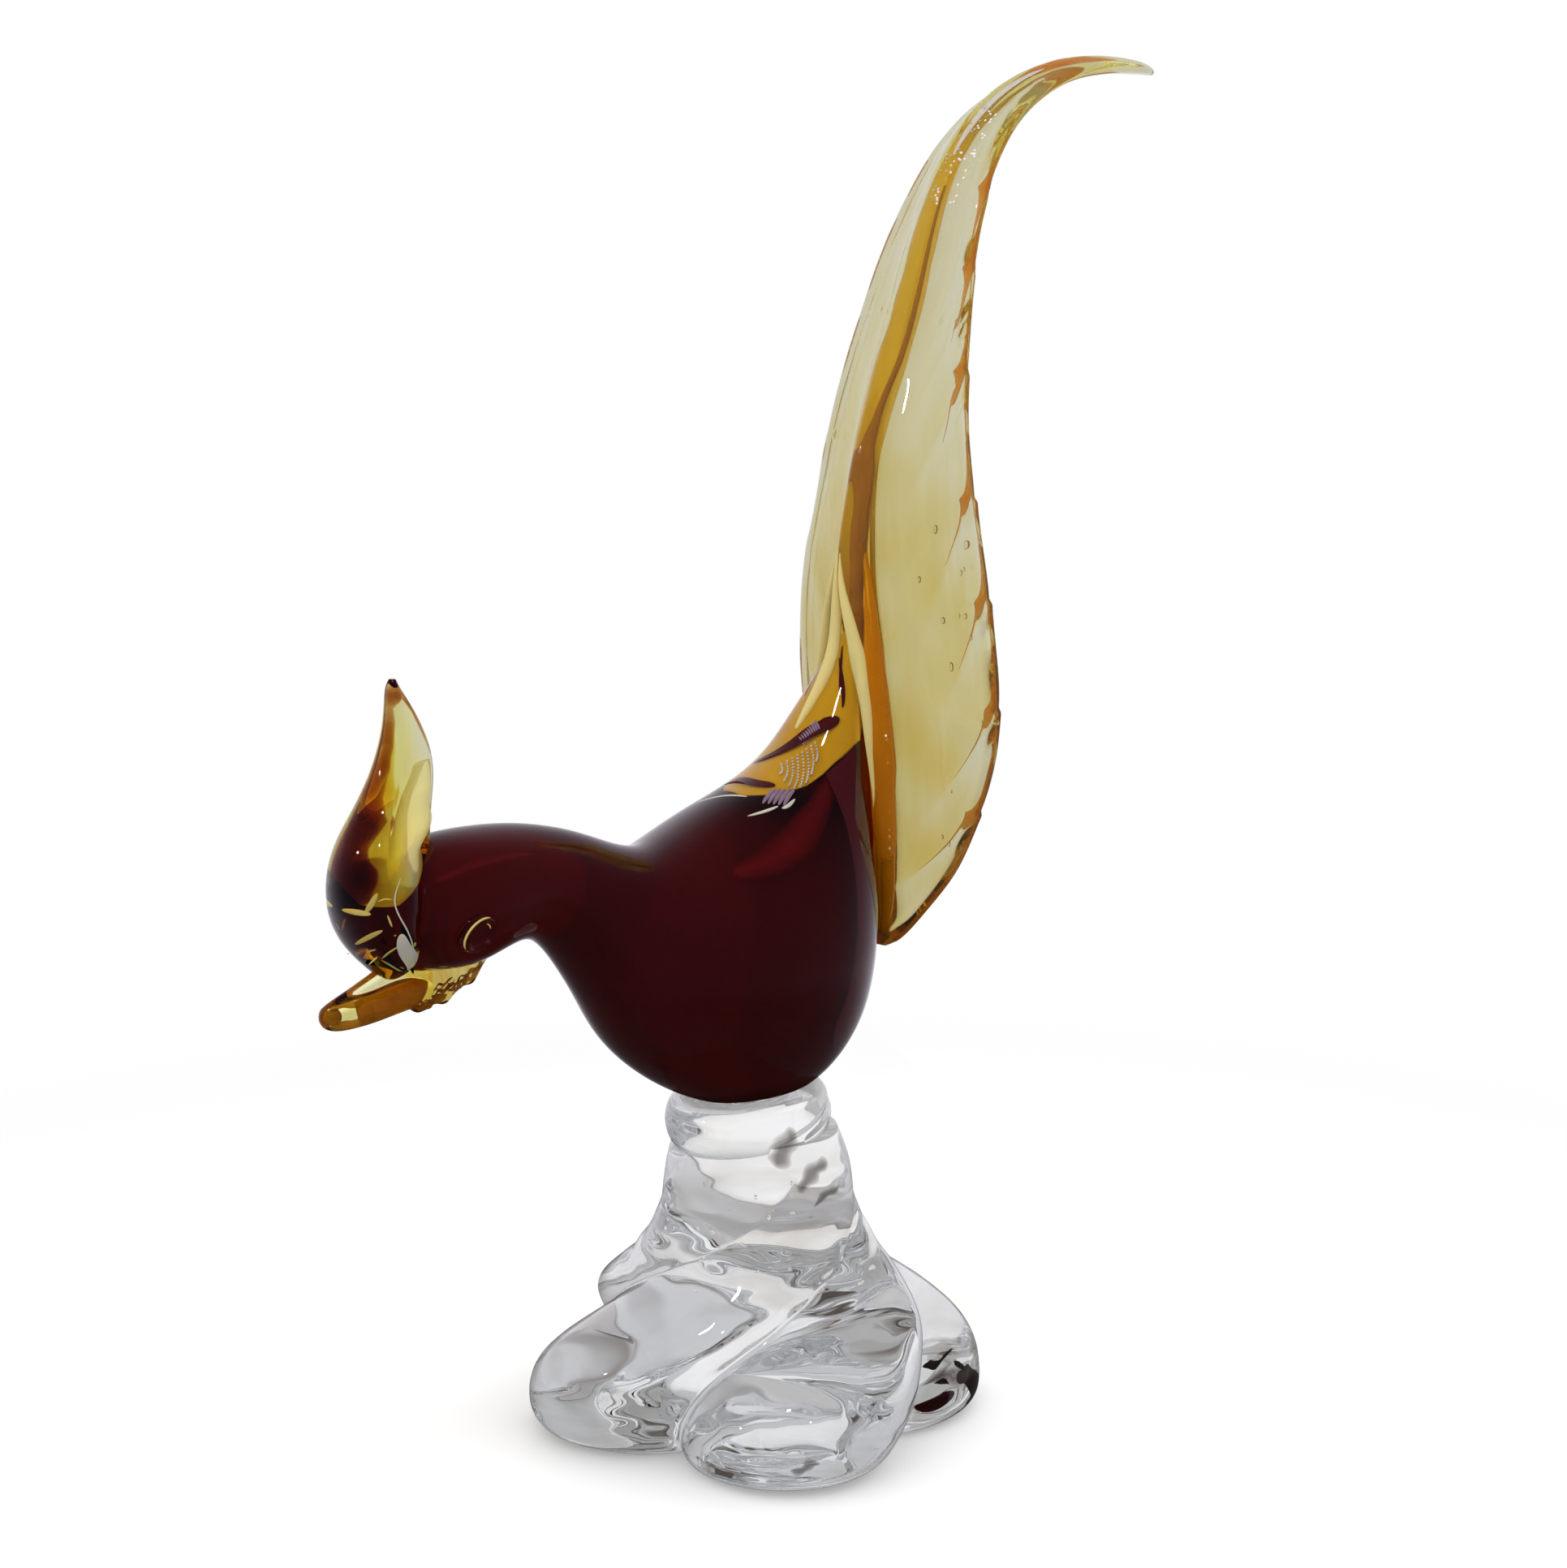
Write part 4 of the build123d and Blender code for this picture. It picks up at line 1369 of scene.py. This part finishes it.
def build_eye(name, node, side):
    """Oval prunt pressed on the head, with a painted highlight of a crescent of shine and a short
    bright line, and a dark outline of painted shade round its edge.
    """
    low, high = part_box(node)
    axes = eye_axes(side)
    centre = np.array((low + high) / 2) / MM - axes[2] * 1.2
    made = piece(name, [prunt(centre, axes)], CASING, [node])
    # painted highlight: a crescent of shine on the upper rim and a short bright line on the face
    shine = [eye_arc(centre, axes, 28, 182, 0.92, 0.42), eye_arc(centre, axes, -20, 30, 0.6, 0.12)]
    piece(f"{name}_crescent", shine, PAINTED_GLINT, [node])
    # painted shade: a dark line round the prunt's refracting edge
    outline = [eye_arc(centre, axes, start, end, 1.06, 0.16) for start, end in ((0, 185), (175, 362))]
    piece(f"{name}_outline", outline, DARK_RUBY_AND_SHADE, [node])
    return made


# x of the start and end, rise over the edge and half width of the wattle's brown ripples
RIPPLES = [(-96, -86, 1.4, 0.8), (-93, -80, 2.6, 0.35), (-85, -76, 1.5, 0.5), (-90, -84, 4.0, 0.25)]


def build_wattle_core():
    """Brown ripples along the wattle's lower edge and up its rear."""
    shells = []
    for start, end, rise, half in RIPPLES:
        for side in (-1, 1):
            x = np.linspace(start, end, 60)
            edge = np.interp(x, [row[0] for row in WATTLE], [row[2] for row in WATTLE])
            z = edge + rise + 0.35 * np.sin(2.3 * x + side)
            centres = np.stack([x, 1.1 * side + 0 * x, z], 1)
            width = half * taper(np.linspace(0, 1, 60)) * (1 + 0.3 * np.sin(3.1 * x))
            shells.append(thread(centres, SIDEWAYS, width, 0.5 * width, 20))
    piece("wattle_ripples", shells, SEPIA, ["wattle"])


# ---- Foot and collar ----

LOBES = 4
LOBE_ANGLE = math.radians(-113)
# height, lobe radius, valley radius, twist in degrees
FOOT = [
    (0.0, 50.0, 29.0, 0.0),
    (2.0, 54.5, 32.0, 1.0),
    (6.0, 57.0, 34.5, 3.0),
    (12.0, 57.5, 36.0, 7.0),
    (20.0, 55.0, 36.0, 15.0),
    (28.0, 47.5, 34.5, 29.0),
    (36.0, 37.5, 31.0, 50.0),
    (43.0, 30.4, 27.6, 74.0),
    (50.0, 26.5, 24.8, 102.0),
    (58.0, 24.0, 23.1, 128.0),
    (66.0, 22.6, 22.0, 148.0),
    (74.0, 20.0, 19.6, 164.0),
]


DRAWN_HEIGHT = 44  # where the lobes draw in to the stem


def foot_rings(rows):
    """Lobes that turn as they close into the stem, with tool waves where they draw in."""
    level = rows[:, 0][:, None]
    turn = circle(420)
    swell = (np.cos(LOBES * turn / 2) ** 2 + 0.004) ** 0.4
    swell = swell / swell.max()
    radius = rows[:, 2][:, None] + (rows[:, 1] - rows[:, 2])[:, None] * swell
    angle = turn + LOBE_ANGLE + np.radians(rows[:, 3])[:, None]
    place = upright(radius, angle, level)
    lifted = ramp(level, 2, 10)
    radius = radius + 0.5 * waves(place, 30, SEED + 1) * lifted
    band = np.exp(-(((level - DRAWN_HEIGHT) / 7) ** 2))
    drawn = place * np.array([0.45, 0.45, 1.0])
    radius = radius + 0.40 * waves(drawn, 9, SEED + 2) * band + 0.05 * waves(drawn, 6, SEED + 4) * lifted
    return upright(radius, angle, level)


def foot_seeds(rows):
    """Seed bubbles through the foot and its stem, none further out than the valleys."""
    rng = np.random.default_rng(SEED + 60)
    for _ in range(26):
        height, turned, out = rng.uniform(6, 62), rng.uniform(0, 2 * math.pi), rng.uniform(0.2, 0.75)
        reach = out * np.interp(height, rows[:, 0], rows[:, 2])
        centre = (reach * math.cos(turned), reach * math.sin(turned), height)
        yield bubble(centre, rng.uniform(0.2, 0.45), rng.uniform(1.0, 2.5), (0.4, 0.5, 1.0))


def build_foot():
    rows = smooth_rows(FOOT, 190)
    rings = seat(foot_rings(rows), "foot", "xXyYzZ")
    shells = [ring_mesh(rings), *foot_seeds(rows)]
    return piece("twisted_foot", shells, CLEAR, ["foot"])


# centre, reach (x, y, z) and half width of the wisps of painted shade in the foot, dark brown where the clear
# glass refracts the dark room
PAINTED_SHADE_WISPS = [
    ((-3.0, -15.2, 72.6), (2.4, 0.4, 4.6), 3.2),
    ((3.6, -16.6, 65.0), (4.6, 1.2, 2.4), 2.4),
    ((7.0, -16.4, 59.5), (4.0, 1.4, 1.6), 1.2),
    ((40.0, -20.0, 6.0), (6.5, -1.2, 1.0), 2.2),
    ((45.0, -17.0, 4.0), (3.4, 1.4, 0.4), 1.8),
    ((36.5, -22.0, 11.0), (4.0, -0.6, 1.4), 1.2),
    ((-17.0, -44.0, 6.0), (3.0, -1.0, 0.6), 0.9),
]


def build_painted_shade():
    """Painted shade: dark brown wisps in the stem, in the base of one lobe and in the front lobe,
    where the clear glass refracts the dark room, each in nested layers so that it fades outwards."""
    shells = []
    for i, (centre, reach, half) in enumerate(PAINTED_SHADE_WISPS):
        t = np.linspace(-1, 1, 60)
        path = np.array(centre) + t[:, None] * np.array(reach)
        path[:, 2] += 0.5 * np.sin(3.1 * t + i)
        out = np.array([centre[0], centre[1], 0.0]) / math.hypot(centre[0], centre[1])
        width = half * np.sqrt(np.clip(1 - t**2, 0.003, 1)) * (1 + 0.22 * np.sin(7 * t + 2 * i))
        for share in np.linspace(1.0, 0.3, 8):
            wisp = centre + (path - centre) * (0.7 + 0.3 * share)
            wide = share * width
            shells.append(thread(wisp, out, wide, 0.35 * wide))
    piece("foot_painted_shade", shells, PAINTED_SHADE_GLASS, ["foot"])


COLLAR_RADIUS = 20.4
COLLAR_HEIGHT = 14.5


def build_collar():
    """Band of glass wound round the joint, with the seam of its lapped end on the tail side."""
    turn, across = circle(260), 90
    rings = []
    for j in range(across + 1):
        lean = math.pi * (0.02 + 0.96 * j / across)
        up = 0.5 * COLLAR_HEIGHT * (1 - math.cos(lean))
        out = COLLAR_RADIUS * (0.55 + 0.45 * math.sin(lean) ** 0.55)
        level = up / COLLAR_HEIGHT
        seam = level - (0.25 + 0.5 * (((turn - math.radians(250)) % (2 * math.pi)) / math.radians(110)))
        dent = 0.9 * np.exp(-((seam / 0.09) ** 2)) * math.sin(lean)
        rings.append(upright(out - dent, turn, up))
    rings = np.array(rings)
    tilt = math.radians(7)
    x, z = rings[..., 0].copy(), rings[..., 2].copy()
    rings[..., 0] = x * math.cos(tilt) - z * math.sin(tilt) - 1.5
    rings[..., 2] = 70.5 + x * math.sin(tilt) + z * math.cos(tilt)
    rings = seat(rings, "collar", "xXyY")
    return piece("collar_band", [ring_mesh(rings)], CLEAR, ["collar"])


# ---- Studio ----

CAMERA_TURN = math.radians(-35)


def room_shade(tree, place, stops):
    """Colour by how far a direction turns from away (-1) to the camera (1)."""
    ahead = (math.sin(CAMERA_TURN), -math.cos(CAMERA_TURN), 0.25)
    dot = add_node(tree, "VectorMath", {0: place, 1: ahead}, operation="DOT_PRODUCT")
    spread = add_node(tree, "MapRange", {"Value": dot.outputs["Value"], "From Min": -1, "From Max": 1})
    shares = [((position + 1) / 2, colour) for position, colour in stops]
    return colour_ramp(tree, spread.outputs["Result"], shares, "B_SPLINE")


# how far a direction turns to the camera, and the colour of the room there
MIRRORED_ROOM = [
    (-0.95, (0.85, 0.84, 0.92)), (-0.45, (0.30, 0.29, 0.35)),
    (0.0, (0.09, 0.08, 0.11)), (0.8, (0.07, 0.06, 0.09)),
]
ROOM_THROUGH_GLASS = [
    (-0.9, (0.64, 0.645, 0.665)), (0.0, (0.74, 0.74, 0.76)),
    (0.45, (0.66, 0.66, 0.67)), (0.95, (0.5, 0.49, 0.48)),
]
DIM_SHAPES = [(0.36, (0.22, 0.18, 0.15)), (0.46, (1, 1, 1))]
DIM_SHARE = [(-0.75, (0, 0, 0)), (-0.3, (0.6, 0.6, 0.6)), (0.3, (1, 1, 1))]
WHITE = (1, 1, 1, 1)


def studio_world():
    """White to the camera. Reflections see a room that is bright behind the bird and dark behind
    the camera. Light that comes through glass sees a softer, greyer room with a few dim
    shapes."""
    world = bpy.data.worlds.new("studio")
    bpy.context.scene.world = world
    world.use_nodes = True
    tree = world.node_tree
    tree.nodes.clear()
    place = add_node(tree, "TexCoord").outputs["Generated"]
    path = add_node(tree, "LightPath").outputs
    shapes = add_node(tree, "TexNoise", {"Vector": place, "Scale": 1.9, "Detail": 1.5, "Roughness": 0.4})
    patched = add_node(
        tree, "Mix",
        {
            "Factor": room_shade(tree, place, DIM_SHARE),
            "A": room_shade(tree, place, ROOM_THROUGH_GLASS),
            "B": colour_ramp(tree, shapes.outputs["Fac"], DIM_SHAPES),
        },
        data_type="RGBA", blend_type="MULTIPLY",
    )
    room = add_node(tree, "Background", {"Color": patched.outputs["Result"]}).outputs[0]
    for ray, colour in (
        ("Is Reflection Ray", room_shade(tree, place, MIRRORED_ROOM)),
        ("Is Diffuse Ray", WHITE),
        ("Is Camera Ray", WHITE),
    ):
        shade = add_node(tree, "Background", {"Color": colour}).outputs[0]
        room = mix_shaders(tree, path[ray], room, shade)
    add_node(tree, "OutputWorld", {"Surface": room})


def floor_mesh():
    """A disc just under the foot, of rings that widen outwards."""
    around, rings, level = 96, 24, -0.0004
    points, faces = [(0, 0, level)], []
    for i in range(1, rings + 1):
        radius = 3.0 * (i / rings) ** 1.6
        for j in range(around):
            turn = 2 * math.pi * j / around
            points.append((radius * math.cos(turn), radius * math.sin(turn), level))
    for j in range(around):
        faces.append((0, 1 + j, 1 + (j + 1) % around))
    for i in range(rings - 1):
        here, there = 1 + i * around, 1 + (i + 1) * around
        for j in range(around):
            k = (j + 1) % around
            faces.append((here + j, there + j, there + k, here + k))
    mesh = bpy.data.meshes.new("floor")
    mesh.from_pydata(points, [], faces)
    return mesh


def floor_material():
    """White to the camera, pale through glass, dark in reflections, and clear far away."""
    material, tree = new_material("pale_floor")
    path = add_node(tree, "LightPath").outputs
    colour = (0.05, 0.045, 0.05, 1)
    for ray, shade in (("Is Transmission Ray", (0.92, 0.92, 0.93, 1)), ("Is Camera Ray", WHITE)):
        inputs = {"Factor": path[ray], "A": colour, "B": shade}
        colour = add_node(tree, "Mix", inputs, data_type="RGBA").outputs["Result"]
    matt = add_node(tree, "BsdfDiffuse", {"Color": colour}).outputs[0]
    place = add_node(tree, "TexCoord").outputs["Object"]
    length = add_node(tree, "VectorMath", {0: place}, operation="LENGTH").outputs["Value"]
    reach = {"Value": length, "From Min": 0.08, "From Max": 0.42}
    fade = add_node(tree, "MapRange", reach, interpolation_type="SMOOTHSTEP").outputs["Result"]
    surface = mix_shaders(tree, fade, matt, plain_shader(tree, "BsdfTransparent", (1, 1, 1)))
    add_node(tree, "OutputMaterial", {"Surface": surface})
    return material


def studio_floor():
    """Pale sweep that fades into the white surround away from the object."""
    floor = bpy.data.objects.new("floor", floor_mesh())
    bpy.context.scene.collection.objects.link(floor)
    floor.data.materials.append(floor_material())


def lamp(name, place, target, size, power):
    light = bpy.data.lights.new(name, "AREA")
    light.shape = "DISK"
    light.size = size
    light.energy = power
    made = bpy.data.objects.new(name, light)
    made.location = place
    made.rotation_euler = (Vector(target) - Vector(place)).to_track_quat("-Z", "Y").to_euler()
    bpy.context.scene.collection.objects.link(made)
    return made


def studio_lamps():
    """A soft overhead lamp that leaves no highlight, and two small ones for sparkles."""
    middle = (0, 0, 0.4 * HEIGHT)
    overhead = lamp("overhead", (-0.25, -0.35, 1.45), middle, 0.5, 3.6)
    overhead.visible_glossy = False
    overhead.visible_transmission = False
    for name, place, size, power in (
        ("spark_left", (-0.75, -1.0, 1.2), 0.03, 1.4),
        ("spark_high", (-0.75, -0.3, 1.35), 0.09, 1.6),
        ("spark_vane", (-1.35, 0.35, 0.75), 0.05, 2.0),
    ):
        spark = lamp(name, place, middle, size, power)
        spark.visible_transmission = False


def studio_camera():
    """Three-quarter view from the bird's front left, slightly above."""
    distance, eye_height, aim = 2.26 * HEIGHT, 0.904 * HEIGHT, 0.479 * HEIGHT
    aside = 0.0202 * HEIGHT
    right = Vector((math.cos(CAMERA_TURN), math.sin(CAMERA_TURN), 0))
    back = Vector((math.sin(CAMERA_TURN), -math.cos(CAMERA_TURN), 0))
    place = back * distance + right * aside + Vector((0, 0, eye_height))
    target = right * aside + Vector((0, 0, aim))
    data = bpy.data.cameras.new("camera")
    data.lens = 73.0
    data.sensor_width = 36.0
    camera = bpy.data.objects.new("camera", data)
    camera.location = place
    camera.rotation_euler = (target - place).to_track_quat("-Z", "Y").to_euler()
    bpy.context.scene.collection.objects.link(camera)
    bpy.context.scene.camera = camera


def under_the_tail(points):
    """The body's rear flanks, where the tail's copper ropes lie against it."""
    x, y, z = points.T
    start = 19.2 + 0.25 * np.clip(z - 160, 0, None) + 0.2 * np.clip(141 - z, 0, None)
    return (x > start) & (np.abs(y) > 3) & (z > 113 + 0.85 * np.abs(y)) & (z < 181)


def build_all():
    casing = build_casing()
    build_core()
    build_mantle()
    build_reflections_and_dark_glass()
    build_tool_marks()
    build_print_highlights()
    build_ruby_glow()
    tail = build_tail_fan()
    build_tail_sheet()
    build_rib_band()
    build_pebble_highlights()
    build_tail_rod()
    build_tail_threads()
    wraps = build_wraps()
    build_copper_streaks()
    build_rope_glints()
    crest = build_crest()
    build_crest_core()
    build_crest_amber()
    build_glints()
    beak = build_beak()
    build_beak_core()
    wattle = build_wattle()
    build_wattle_core()
    left_eye = build_eye("eye_left", "left_eye", -1)
    right_eye = build_eye("eye_right", "right_eye", 1)
    foot = build_foot()
    build_painted_shade()
    collar = build_collar()
    joined = {
        casing: [tail, crest, beak, wattle, left_eye, right_eye, collar, *wraps],
        tail: [casing, *wraps],
        crest: [casing, beak],
        beak: [casing, crest, wattle],
        wattle: [casing, beak, crest],
        left_eye: [casing],
        right_eye: [casing],
        foot: [collar],
        collar: [foot, casing],
    }
    for wrap in wraps:
        joined[wrap] = [casing, tail, *(other for other in wraps if other is not wrap)]
    for made, neighbours in joined.items():
        mark_sunk(made, neighbours, under_the_tail if made is casing else None)


def settings():
    scene = bpy.context.scene
    scene.view_settings.view_transform = "Standard"
    scene.view_settings.look = "None"
    scene.cycles.max_bounces = 40
    scene.cycles.transmission_bounces = 32
    scene.cycles.glossy_bounces = 32
    scene.cycles.transparent_max_bounces = 40
    scene.cycles.caustics_reflective = False
    scene.cycles.caustics_refractive = True


build_all()
studio_world()
studio_floor()
studio_lamps()
studio_camera()
settings()
